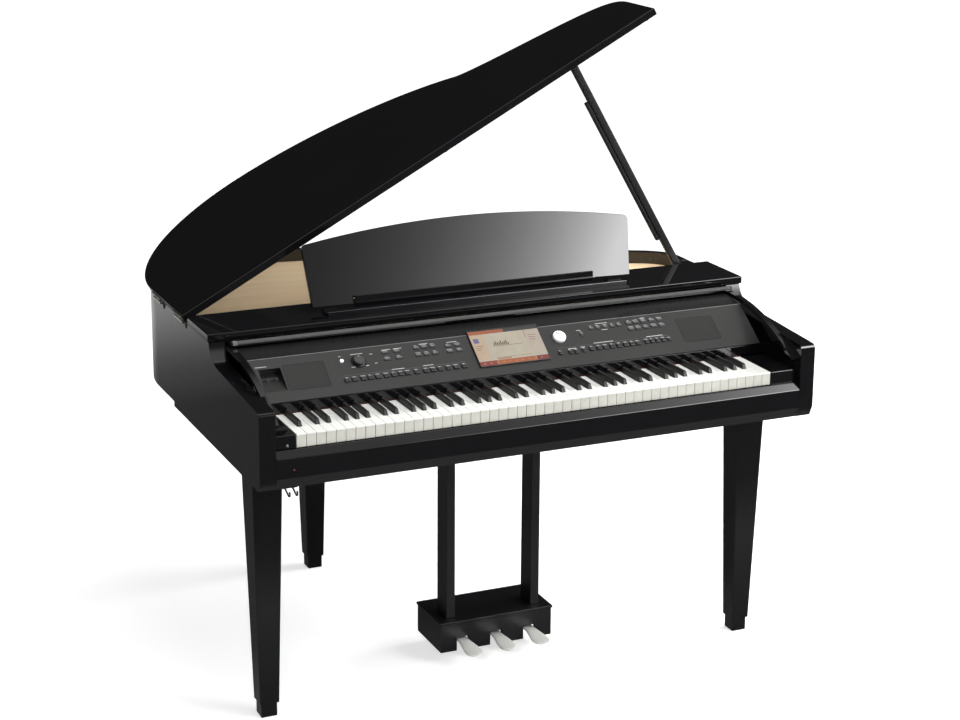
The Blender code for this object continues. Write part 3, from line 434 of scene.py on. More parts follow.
# Pale bars near the caps' upper edges: a painted highlight of the lit top edge.
CAP_EDGE_HIGHLIGHT = Finish("cap_edge_highlight", Slot.LIGHT_BUTTON, (0.12, 0.125, 0.12), (0.35, 0.45), 1200.0, 40.0, 0.08, 0.0001)
POWER_CAP = Lit("power_cap", Slot.LIGHT_BUTTON, (0.80, 0.82, 0.80), (0.2, 0.3), dust=0.0, glow=0.35)
PRINT = Finish("panel_print", Slot.LIGHT_BUTTON, (0.42, 0.43, 0.42), (0.45, 0.55), 900.0, 30.0, 0.04, 0.0001)
FAINT_PRINT = Finish("faint_print", Slot.LIGHT_BUTTON, (0.095, 0.098, 0.095), (0.45, 0.55), 900.0, 30.0, 0.04,
                     0.0001)
SILVER = Finish("silver_dial", Slot.SILVER, (0.93, 0.94, 0.95), (0.28, 0.40), 700.0, 30.0, 0.05, 0.0001,
                dust=0.0, shade=0.02)
# Near-black sheets laid flush round the caps, the grilles and the volume knob: painted shade of the gaps round
# them.
GAP_SHADE = Finish("painted_gap_shade", Slot.BUTTON, (0.0030, 0.0030, 0.0030), (0.50, 0.60), 900.0, 6.0, 0.02,
                dust=0.0, fixed=(("Specular IOR Level", 0.2),))
KNOB_TOP = Finish("knob_top", Slot.PANEL, (0.032, 0.032, 0.031), (0.42, 0.52), 1500.0, 6.0, 0.10, 0.0001,
                  dust=0.0)
DARK_KNOB = Finish("dark_knob", Slot.BUTTON, (0.006, 0.006, 0.006), (0.25, 0.38), 900.0, 30.0, 0.06, 0.0001)
IVORY = Finish("white_key_plastic", Slot.WHITE_KEY, (0.77, 0.77, 0.735), (0.12, 0.22), 500.0, 12.0, 0.02,
               0.0001, dust=0.0, shade=0.015)
# A greyer copy of the white key colour for the key fronts: painted shade.
IVORY_SHADED_FRONT = Finish("white_key_front_shade", Slot.WHITE_KEY, (0.58, 0.575, 0.52), (0.25, 0.35), 500.0, 12.0, 0.02,
                     0.0001, dust=0.0, shade=0.03)
EBONY = Finish("black_key_plastic", Slot.BLACK_KEY, (0.009, 0.009, 0.009), (0.36, 0.48), 700.0, 25.0, 0.10,
               0.0001, stretch=(1.0, 0.15, 1.0), dust=0.008, fixed=(("Specular IOR Level", 0.3),))
# Pedal blades: a quarter metal; the pale diffuse rest is painted reflection of the bright surroundings.
CHROME_AND_PAINTED_SHINE = Finish("pedal_chrome_and_painted_shine", Slot.PEDAL, (0.78, 0.78, 0.74), (0.16, 0.28), 600.0, 20.0, 0.03, 0.0001,
                stretch=(1.0, 0.1, 1.0), dust=0.0, fixed=(("Metallic", 0.25),))
NICKEL = Finish("hinge_nickel", Slot.HINGE, (0.78, 0.75, 0.68), (0.18, 0.30), 700.0, 25.0, 0.06, 0.0001,
                fixed=(("Metallic", 1.0),))
# Grey of the cover's front lip: painted reflection of the bright studio.
COVER_LIP_REFLECTION = Finish("cover_lip_reflection", Slot.LEDGE, (0.062, 0.063, 0.062), (0.55, 0.65), 800.0, 14.0, 0.05, 0.0001,
                    stretch=(0.05, 1.0, 1.0), fixed=(("Specular IOR Level", 0.25),))
COVER_END = Finish("cover_end", Slot.LEDGE, (0.14, 0.145, 0.14), (0.35, 0.45), 800.0, 14.0, 0.05, 0.0001)
# Sheet behind the panel's top edge: its gloss is its own, its darker colour is painted shade from the cover
# and top board.
SHADED_UPPER_PANEL = Finish("shaded_upper_panel", Slot.PANEL, (0.011, 0.011, 0.011), (0.27, 0.28), 700.0, 6.0, 0.01, 0.0001,
                     dust=0.0)
LEDGE = Finish("ledge_metal", Slot.LEDGE, (0.16, 0.165, 0.17), (0.14, 0.20), 800.0, 14.0, 0.004, 0.0001,
               stretch=(0.05, 1.0, 1.0), dust=0.0, fixed=(("Metallic", 0.9),))
LEDGE_BLACK = Finish("ledge_plastic", Slot.LEDGE, (0.007, 0.007, 0.008), (0.10, 0.16), 600.0, 12.0, 0.005,
                     0.0001, dust=0.0, fixed=(("Specular IOR Level", 0.15),))
CIRCUIT = Finish("circuit_lacquer", Slot.CIRCUIT, (0.015, 0.10, 0.04), (0.25, 0.4), 300.0, 60.0, 0.05)
RUBBER = Finish("black_rubber", Slot.SATIN, (0.012, 0.012, 0.012), (0.65, 0.8), 900.0, 20.0, 0.10)
PALE_DOT = Finish("pale_dot", Slot.LIGHT_BUTTON, (0.11, 0.115, 0.115), (0.3, 0.4), 500.0, 20.0, 0.02)
RED_FELT = Cloth("red_felt", Slot.SATIN, (0.035, 0.006, 0.006), (0.85, 0.95), 900.0, 30.0, 0.5, 0.0004,
                 dust=0.0, hollow=(0.015, 0.002, 0.002), scale=160.0)
GRILLE_CLOTH = Cloth("grille_cloth", Slot.GRILLE, (0.009, 0.009, 0.008), (0.6, 0.8), 900.0, 30.0, 0.5, 0.0004,
                     dust=0.0, hollow=(0.005, 0.005, 0.004), scale=220.0)
GRILLE_BAR = Finish("grille_bar", Slot.GRILLE, (0.0095, 0.0095, 0.0090), (0.45, 0.58), 900.0, 20.0, 0.1,
                    0.0001)
GLASS = Finish("screen_glass", Slot.DISPLAY, (0.006, 0.006, 0.008), (0.05, 0.09), 300.0, 12.0, 0.004)
RED_LAMP = Lit("red_lamp", Slot.SATIN, (0.35, 0.04, 0.04), (0.2, 0.3), dust=0.0, glow=0.35)


def screen_light(name: str, colour: Colour, other: Colour | None = None,
                 span: tuple[float, float] = (0.0, 1.0)) -> Lit:
    """A patch of the display.

    Args:
        name: Name of the finish.
        colour: Colour at the start of the fade.
        other: Colour at its end.
        span: Range of the fade along x.

    Returns:
        The finish.
    """
    return Lit("screen_" + name, Slot.DISPLAY, tuple(c * 0.35 for c in colour), (0.10, 0.16), 600.0, 40.0,
               0.0, dust=0.0, glow=0.30, first=colour, other=other, span=span)


class Palette:
    """Makes each finish once."""

    def __init__(self) -> None:
        """Start with no materials."""
        self.made: dict[str, bpy.types.Material] = {}

    def get(self, finish: Finish) -> bpy.types.Material:
        """Return the material of a finish, made at its first use."""
        if finish.name not in self.made:
            self.made[finish.name] = finish.build()
        return self.made[finish.name]


PALETTE = Palette()


# Mesh making


@dataclass
class Shape:
    """A mesh under construction, of vertices and faces in the row frame."""

    bm: bmesh.types.BMesh = field(default_factory=bmesh.new)

    def loft(self, rings: Sequence[Sequence[Sequence[float]]], wrap: bool = False) -> "Shape":
        """Join a row of equal closed loops by quads.

        Args:
            rings: Loops of points.
            wrap: Whether the last loop joins the first, as round a frame. Both are filled if not.

        Returns:
            The shape itself.
        """
        rows = [[self.bm.verts.new(point) for point in ring] for ring in rings]
        for a, b in zip(rows, rows[1:] + rows[:1] if wrap else rows[1:]):
            for i in range(len(a)):
                j = (i + 1) % len(a)
                self.bm.faces.new((a[i], a[j], b[j], b[i]))
        if not wrap:
            self.bm.faces.new(rows[0])
            self.bm.faces.new(rows[-1])
        return self

    def move(self, matrix: Matrix) -> "Shape":
        """Transform all vertices and return the shape."""
        bmesh.ops.transform(self.bm, verts=self.bm.verts, matrix=matrix)
        return self

    def build(self, name: str) -> bpy.types.Object:
        """Turn the shape into an object.

        Args:
            name: Name of the object.

        Returns:
            The object, linked to the scene.
        """
        bmesh.ops.remove_doubles(self.bm, verts=self.bm.verts, dist=1e-6)
        bmesh.ops.recalc_face_normals(self.bm, faces=self.bm.faces)
        mesh = bpy.data.meshes.new(name)
        self.bm.to_mesh(mesh)
        self.bm.free()
        obj = bpy.data.objects.new(name, mesh)
        bpy.context.scene.collection.objects.link(obj)
        mesh.shade_smooth()
        return obj


def bezier(start: Point2, start_handle: Point2, end_handle: Point2, end: Point2, count: int) -> list[Point2]:
    """Points of a Bezier span, without its last point."""
    points = interpolate_bezier(Vector(start), Vector(start_handle), Vector(end_handle), Vector(end),
                                count + 1)
    return [(p.x, p.y) for p in points[:-1]]


def arc(centre: Point2, radius: float, start: float, end: float, count: int) -> list[Point2]:
    """Points of an arc between two angles, both ends included."""
    step = (end - start) / count
    return [(centre[0] + radius * math.cos(start + step * i), centre[1] + radius * math.sin(start + step * i))
            for i in range(count + 1)]


def rounded_rect(x: Point2, y: Point2, radius: float, steps: int = 4) -> list[Point2]:
    """A rectangle with round corners, counter-clockwise."""
    corners = ((x[1] - radius, y[0] + radius, -90), (x[1] - radius, y[1] - radius, 0),
               (x[0] + radius, y[1] - radius, 90), (x[0] + radius, y[0] + radius, 180))
    points = []
    for cx, cy, turn in corners:
        points += arc((cx, cy), radius, math.radians(turn), math.radians(turn + 90), steps)
    return points


def offset_loop(points: Sequence[Point2], distance: float) -> list[Point2]:
    """Move each corner of a counter-clockwise loop inwards by a distance."""
    count = len(points)
    moved = []
    for i, point in enumerate(points):
        here = Vector(point)
        before = (here - Vector(points[i - 1])).normalized()
        after = (Vector(points[(i + 1) % count]) - here).normalized()
        normal = Vector((-before.y - after.y, before.x + after.x))
        if normal.length < 1e-9:
            normal = Vector((-before.y, before.x))
        normal.normalize()
        scale = distance / max(0.35, normal.dot(Vector((-before.y, before.x))))
        moved.append((point[0] + normal.x * scale, point[1] + normal.y * scale))
    return moved


def in_axis(points: Iterable[Point2], level: float, axis: Axis) -> list[Point3]:
    """Lift flat points to a level: along X they are (y, z), along Z they are (x, y)."""
    return [(level, u, v) if axis is Axis.X else (u, v, level) for u, v in points]


def stack(levels: Iterable[tuple[Sequence[Point2], float, float]], axis: Axis = Axis.Z) -> list[list[Point3]]:
    """Loops for a loft, from outlines with the distance each moves inwards and its level."""
    return [in_axis(offset_loop(outline, inwards) if inwards else outline, level, axis)
            for outline, inwards, level in levels]


def prism(outline: Sequence[Point2], low: float, high: float, axis: Axis = Axis.Z, round_by: float = 0.0,
          steps: int = 3) -> Shape:
    """Extrude a counter-clockwise outline and round its long edges.

    Args:
        outline: Corners of the section.
        low: Lower level.
        high: Higher level.
        axis: Direction of the extrusion.
        round_by: Radius of the rounded edges.
        steps: Faces in each rounding.

    Returns:
        The shape.
    """
    levels = [(0.0, low), (0.0, high)]
    if round_by:
        turns = [math.pi / 2 * i / steps for i in range(steps, -1, -1)]
        levels = [(round_by * (1 - math.cos(turn)), low + round_by * (1 - math.sin(turn))) for turn in turns]
        levels += [(inwards, high - (level - low)) for inwards, level in reversed(levels)]
    return Shape().loft(stack([(outline, inwards, level) for inwards, level in levels], axis))


def block(x: Point2, y: Point2, z: Point2, radius: float = 0.001, axis: Axis = Axis.Z) -> Shape:
    """A box with all its edges rounded."""
    if axis is Axis.X:
        return prism(rounded_rect(y, z, radius, 3), *x, axis=Axis.X, round_by=radius, steps=2)
    return prism(rounded_rect(x, y, radius, 3), *z, axis=Axis.Z, round_by=radius, steps=2)


def lathe(profile: Sequence[Point2], steps: int = 48) -> Shape:
    """Turn a profile of (radius, height) about z, its ends closed."""
    turns = [2 * math.pi * i / steps for i in range(steps)]
    return Shape().loft([[(radius * math.cos(turn), radius * math.sin(turn), height) for turn in turns]
                         for radius, height in profile])


def round_edges(obj: bpy.types.Object, width: float, segments: int = 3,
                angle: float = 30.0) -> bpy.types.Object:
    """Round the sharp edges of a piece.

    Args:
        obj: The piece.
        width: Width of the rounding.
        segments: Faces in each rounding.
        angle: Edges sharper than this many degrees are rounded.

    Returns:
        The piece.
    """
    modifier = obj.modifiers.new("rounded_edges", "BEVEL")
    modifier.width = width
    modifier.segments = segments
    modifier.limit_method = "ANGLE"
    modifier.angle_limit = math.radians(angle)
    modifier.harden_normals = True
    modifier.use_clamp_overlap = True
    return obj


def fit(obj: bpy.types.Object, body: str, finish: Finish, replaces: Sequence[str] = ()) -> bpy.types.Object:
    """Dress a piece and let it ride.

    Args:
        obj: The piece, in place.
        body: CAD body that it moves with.
        finish: Its finish.
        replaces: CAD nodes that it stands for.

    Returns:
        The piece.
    """
    obj.data.materials.clear()
    obj.data.materials.append(PALETTE.get(finish))
    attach(obj, body)
    if replaces:
        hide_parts(*replaces)
    if not any(modifier.type == "BEVEL" for modifier in obj.modifiers):
        obj.data.set_sharp_from_angle(angle=math.radians(50))
    flat = obj.modifiers.new("flat_faces", "WEIGHTED_NORMAL")
    flat.keep_sharp = True
    flat.weight = 90
    LOG.info("%s rides on %s", obj.name, body)
    return obj


def copy_node(name: str, suffix: str = "_dressed") -> bpy.types.Object:
    """A copy of a CAD node's mesh as a piece of its own, with merged vertices and no split normals."""
    bm = bmesh.new()
    bm.from_mesh(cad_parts[name].data)
    bmesh.ops.remove_doubles(bm, verts=bm.verts, dist=0.00002)
    bmesh.ops.dissolve_limit(bm, angle_limit=math.radians(0.5), verts=bm.verts, edges=bm.edges)
    return Shape(bm).build(name + suffix)


def round_copy(name: str, finish: Finish, width: float, segments: int, angle: float,
               body: str = "case") -> None:
    """Stand a copy of a CAD node with rounded edges in its place."""
    fit(round_edges(copy_node(name), width, segments, angle), body, finish, [name])


def dress_node(name: str, finish: Finish) -> None:
    """Give a CAD node that stays a finish."""
    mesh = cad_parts[name].data
    mesh.materials.clear()
    mesh.materials.append(PALETTE.get(finish))
    LOG.info("%s keeps its solid", name)


# Case


@dataclass
class Outline:
    """Plan of the curved side: knots with direction and handles, in (x, distance)."""

    knots: tuple = (((-TOP_HALF, 0.822), (0.0, 1.0), 0.0, 0.231), ((-0.327, 1.185), (1.0, 0.0), 0.205, 0.211),
                    ((0.277, 0.927), (0.689, -0.725), 0.218, 0.043), ((0.573, 0.818), (0.941, -0.338), 0.098,
                                                                      0.121),
                    ((TOP_HALF, 0.683), (0.0, -1.0), 0.064, 0.0))

    def points(self, segments: int = 28) -> list[Point2]:
        """Points from the left spine round the tail to the right front."""
        line: list[Point2] = []
        for (p, t, _, out), (q, u, into, _) in zip(self.knots, self.knots[1:]):
            a = (p[0] + t[0] * out, p[1] + t[1] * out)
            b = (q[0] - u[0] * into, q[1] - u[1] * into)
            line += bezier(p, a, b, q, segments)
        return line + [self.knots[-1][0]]

    def inset(self, points: Sequence[Point2], distance: float) -> list[Point2]:
        """Move an open line to its right-hand side, the inside of the case."""
        moved = []
        for i, point in enumerate(points):
            along = (Vector(points[min(i + 1, len(points) - 1)]) - Vector(points[max(i - 1, 0)])).normalized()
            moved.append((point[0] + along.y * distance, point[1] - along.x * distance))
        return moved


@dataclass
class CaseShell:
    """Sides, curved rim, boards and blocks of the case."""

    panel_top: float = 0.8867
    rim: tuple[float, float] = (0.648, 0.8875)
    wall: float = 0.020
    rim_edge: float = 0.0015
    edge: float = 0.0016
    outline: Outline = field(default_factory=Outline)

    def curved_rim(self) -> None:
        """The bent wall, black outside and darker olive inside."""
        overhang = TOP_HALF - CASE_HALF
        plan = [(-TOP_HALF, 0.684 + GAP), (-TOP_HALF, 0.75)] + self.outline.points()
        plan += [(TOP_HALF, 0.640 + GAP)]
        outer = self.outline.inset(plan, overhang)
        inner = self.outline.inset(plan, overhang + self.wall)
        low, high = self.rim
        r = self.rim_edge
        rings = []
        for (xo, do), (xi, di) in zip(outer, inner):
            o, n = Vector((xo, depth(do), 0)), Vector((xi, depth(di), 0))
            across = (n - o).normalized()
            ring = []
            for anchor, level, start in ((o, low, 180), (n, low, 270), (n, high, 0), (o, high, 90)):
                centre = Vector((anchor.x, anchor.y, level)) + across * (r if anchor is o else -r)
                centre.z += r if level == low else -r
                for k in range(4):
                    turn = math.radians(start + 30 * k)
                    ring.append(centre + across * r * math.cos(turn) + Vector((0, 0, r * math.sin(turn))))
            rings.append(ring)
        rim = Shape().loft(rings).build("curved_rim_dressed")
        fit(rim, "case", LACQUER, ["curved_rim"])
        rim.data.materials.append(PALETTE.get(INNER_BLACK))
        middle = Vector((0.0, depth(0.7), 0.0))
        for polygon in rim.data.polygons:
            towards = middle - polygon.center
            if abs(polygon.normal.z) < 0.5 and polygon.normal.dot(towards) > 0 and polygon.center.z > 0.66:
                polygon.material_index = 1

    def top_board(self) -> None:
        """The fixed board in front of the lid."""
        board = block((-TOP_HALF, TOP_HALF), (depth(0.362), depth(0.541)), (self.panel_top + GAP, 0.906),
                      0.0025)
        fit(board.build("top_board_dressed"), "case", LACQUER, ["top_board"])

    def slip(self) -> None:
        """The rail, blocks and board round the keys, with the lamp and the power switch."""
        for name, width, segments, angle in (("key_slip", 0.0012, 3, 20), ("left_key_block", 0.0022, 3, 28),
                                             ("right_key_block", 0.0022, 3, 28), ("name_board", 0.0010, 2,
                                                                                  28)):
            round_copy(name, LACQUER, width, segments, angle)
        lamp = lathe(((0.0, 0.0), (0.0016, 0.0), (0.0016, 0.0009), (0.0009, 0.00092), (0.0, 0.00092)), 20)
        turn = Matrix.Rotation(math.pi / 2, 4, "X")
        lamp.move(Matrix.Translation((-0.6335, depth(0.0009), 0.681)) @ turn)
        fit(lamp.build("standby_lamp"), "case", RED_LAMP)
        dot = lathe(((0.0, 0.0), (0.0034, 0.0), (0.0034, 0.0010), (0.0028, 0.0016), (0.0, 0.0018)), 28)
        dot.move(Matrix.Translation((-0.6430, depth(0.018), 0.7325)) @ turn)
        fit(dot.build("power_switch_cap"), "case", PALE_DOT)

    def felt(self) -> None:
        """Red felt strip between the keys and the name board."""
        strip = block((KEYS_LEFT - 0.001, KEYS_RIGHT + 0.001), (depth(0.1638), depth(0.1664)), (0.7574,
                                                                                                0.7606),
                      0.0006, Axis.X)
        fit(strip.build("key_felt"), "case", RED_FELT)

    def build(self) -> None:
        """Make the whole case."""
        for name in ("left_side_panel", "right_side_panel"):
            round_copy(name, LACQUER, self.edge, 3, 28)
        self.curved_rim()
        self.top_board()
        self.slip()
        self.felt()
        dress_node("soundboard", SPRUCE)
        for name in ("bottom_board", "headphone_box", "left_woofer", "right_woofer", "power_inlet"):
            dress_node(name, SATIN)
        dress_node("main_circuit_board", CIRCUIT)


@dataclass
class Lid:
    """The lid with its hinges and bumpers, standing open."""

    hinge: tuple[float, float] = (-0.7215, 0.888)
    angle: float = math.radians(28.3)
    front: float = 0.543
    thickness: float = 0.019
    edge: float = 0.0022
    outline: Outline = field(default_factory=Outline)

    def axes(self) -> Matrix:
        """The lid's own axes: x along the lid from the hinge, z out of its top face."""
        return Matrix.Translation((self.hinge[0], 0.0, self.hinge[1])) @ Matrix.Rotation(-self.angle, 4, "Y")

    def board(self) -> None:
        """The board itself."""
        plan = [(TOP_HALF, self.front), (TOP_HALF, 0.60)] + self.outline.points()[::-1]
        plan += [(-TOP_HALF, 0.70), (-TOP_HALF, self.front)]
        outline = [(x - self.hinge[0], depth(d)) for x, d in plan]
        shape = prism(outline, 0.0, self.thickness, round_by=self.edge, steps=3).move(self.axes())
        fit(shape.build("lid_dressed"), "lid", LACQUER, ["lid"])

    def bumpers(self) -> None:
        """Small pads under the lid that meet the case."""
        for i, (x, d) in enumerate(((1.412, 0.556), (0.78, 0.556), (0.30, 0.556))):
            pad = lathe(((0.0, -0.0035), (0.0045, -0.0035), (0.006, -0.002), (0.006, -0.0001), (0.0, -0.0001)),
                        20)
            pad.move(self.axes() @ Matrix.Translation((x, depth(d), 0.0)))
            fit(pad.build(f"lid_bumper_{i + 1}"), "lid", RUBBER)

    def build(self) -> None:
        """Make the lid."""
        self.board()
        self.bumpers()
        for which in ("front", "rear"):
            fixed = copy_node(f"lid_hinge_{which}")
            for vert in fixed.data.vertices:
                if vert.co.z < self.hinge[1] - 0.0046:
                    vert.co.x = max(vert.co.x, -0.7157)
                    vert.co.z = max(vert.co.z, 0.872)
            fit(round_edges(fixed, 0.0003, 2, 30), "case", NICKEL, [f"lid_hinge_{which}"])
            dress_node(f"lid_leaf_{which}", NICKEL)


@dataclass
class Keyboard:
    """White and black keys, those of one octave on bodies of their own."""

    front: float = 0.018
    top: float = 0.757
    bottom: float = 0.7255
    rear: float = 0.249
    black_front: float = 0.068
    black_rear: float = 0.162
    black_top: float = 0.769
    black_end: float = 0.2528
    fixed_black_end: float = 0.2533
    plate: float = 0.0036
    notch: float = 0.0130
    moving: range = range(23, 30)
    names: tuple[str, ...] = ("c", "d", "e", "f", "g", "a", "b")
    offsets: dict[str, float] = field(default_factory=lambda: {"c": -0.0018, "d": 0.0018, "f": -0.0026,
                                                               "g": 0.0,
                                                                "a": 0.0026})

    def note(self, index: int) -> str:
        """Name of a white key. The first is an A."""
        return self.names[(index + 5) % 7]

    def black_offset(self, index: int) -> float | None:
        """Offset of the black key right of a white key, or None."""
        return None if index >= WHITE_COUNT - 1 else self.offsets.get(self.note(index))

    def plan(self, index: int) -> list[Point2]:
        """A white key seen from above, counter-clockwise."""
        left = KEYS_LEFT + index * KEY_PITCH + 0.0005
        right = KEYS_LEFT + (index + 1) * KEY_PITCH - 0.0005
        shoulder, rear = depth(self.black_front - 0.0015), depth(self.rear)
        corner = 0.0008
        points = [(left, depth(self.front) + corner), (left + corner, depth(self.front)),
                  (right - corner, depth(self.front)), (right, depth(self.front) + corner)]
        offset = self.black_offset(index)
        if offset is None:
            points += [(right, rear)]
        else:
            cut = KEYS_LEFT + (index + 1) * KEY_PITCH + offset - self.notch / 2
            points += [(right, shoulder), (cut, shoulder), (cut, rear)]
        offset = self.black_offset(index - 1) if index else None
        if offset is None:
            points += [(left, rear)]
        else:
            cut = KEYS_LEFT + index * KEY_PITCH + offset + self.notch / 2
            points += [(cut, rear), (cut, shoulder), (left, shoulder)]
        return points

    def add_white(self, shape: Shape, index: int) -> None:
        """A white key: a body under a top plate that stands out at the front."""
        plan = self.plan(index)
        lip = 0.0011
        body = [(x, y + lip if y < depth(self.front) + 0.002 else y) for x, y in plan]
        levels = ((body, 0.0, self.bottom), (body, 0.0, self.top - 0.0042), (plan, 0.0,
                                                                             self.top - self.plate),
                  (plan, 0.0, self.top - 0.0010), (plan, 0.00018, self.top - 0.0004), (plan, 0.0007,
                                                                                       self.top))
        shape.loft(stack(levels))

    def add_black(self, shape: Shape, index: int, rear: float) -> None:
        """A black key: rounded top, sloped front."""
        x = KEYS_LEFT + (index + 1) * KEY_PITCH + self.black_offset(index)
        low, half, top_half = 0.7415, 0.00525, 0.0045
        stations = ((0.0, 0.7560, 1.0), (0.0004, 0.7580, 1.0), (0.0030, 0.7632, 1.0), (0.0056, 0.7676, 0.98),
                    (0.0075, 0.7687, 0.96), (0.0110, self.black_top, 0.96),
                    (self.black_rear - self.black_front - 0.001, self.black_top, 0.96),
                    (self.black_rear - self.black_front, self.black_top - 0.001, 0.94))
        rings = []
        for run, top, share in stations:
            y = depth(self.black_front + run)
            upper = half + (top_half - half) * min(1.0, max(0.0, (top - 0.7560) / (self.black_top - 0.7560)))
            r = min(0.0016, max(0.0004, (top - 0.7555) * 0.5))
            section = [(x - half, low), (x + half, low), (x + half, 0.7550)]
            section += arc((x + upper * share - r, top - r), r, 0.1, math.pi / 2, 4)
            section += arc((x - upper * share + r, top - r), r, math.pi / 2, math.pi - 0.1, 4)
            section += [(x - half, 0.7550)]
            rings.append([(u, y, v) for u, v in section])
        last = [(u, depth(rear), min(v, 0.7552)) for u, _, v in rings[-1]]
        drop = [(u, y + 0.0002, min(v, 0.7552)) for u, y, v in rings[-1]]
        shape.loft(rings + [drop, last])

    def dress(self, shape: Shape, name: str, body: str, finish: Finish, replaces: Sequence[str]) -> None:
        """Build a key piece, the fronts of white keys in a greyer copy of the white that paints shade on them.
        """
        piece = fit(shape.build(name), body, finish, replaces)
        if finish is IVORY:
            # Fronts of white keys take the greyer copy: painted shade.
            piece.data.materials.append(PALETTE.get(IVORY_SHADED_FRONT))
            for polygon in piece.data.polygons:
                if polygon.normal.y < -0.7 and polygon.center.z < self.top - self.plate:
                    polygon.material_index = 1

    def rail(self, shape: Shape, y: Point2, z: Point2) -> None:
        """Add a rail that carries the fixed keys."""
        corners = ((y[0], z[0]), (y[1], z[0]), (y[1], z[1]), (y[0], z[1]))
        shape.loft([in_axis(corners, x, Axis.X) for x in (KEYS_LEFT, KEYS_RIGHT)])

    def build(self) -> None:
        """Make the keyboard."""
        white, black = Shape(), Shape()
        for index in range(WHITE_COUNT):
            offset = self.black_offset(index)
            if index in self.moving:
                note = self.note(index)
                single = Shape()
                self.add_white(single, index)
                self.dress(single, f"white_{note}_key", f"key_{note}", IVORY, [f"key_{note}"])
                if offset is not None:
                    single = Shape()
                    self.add_black(single, index, self.black_end)
                    self.dress(single, f"black_{note}_sharp_key", f"key_{note}_sharp", EBONY,
                               [f"key_{note}_sharp"])
            else:
                self.add_white(white, index)
                if offset is not None:
                    self.add_black(black, index, self.fixed_black_end)
        self.rail(white, (depth(0.2495), depth(0.275)), (0.6890, 0.7400))
        self.rail(black, (depth(0.2537), depth(0.275)), (0.7403, 0.7550))
        self.dress(white, "fixed_white_keys", "case", IVORY, ["white_keys"])
        self.dress(black, "fixed_black_keys", "case", EBONY, ["black_keys"])


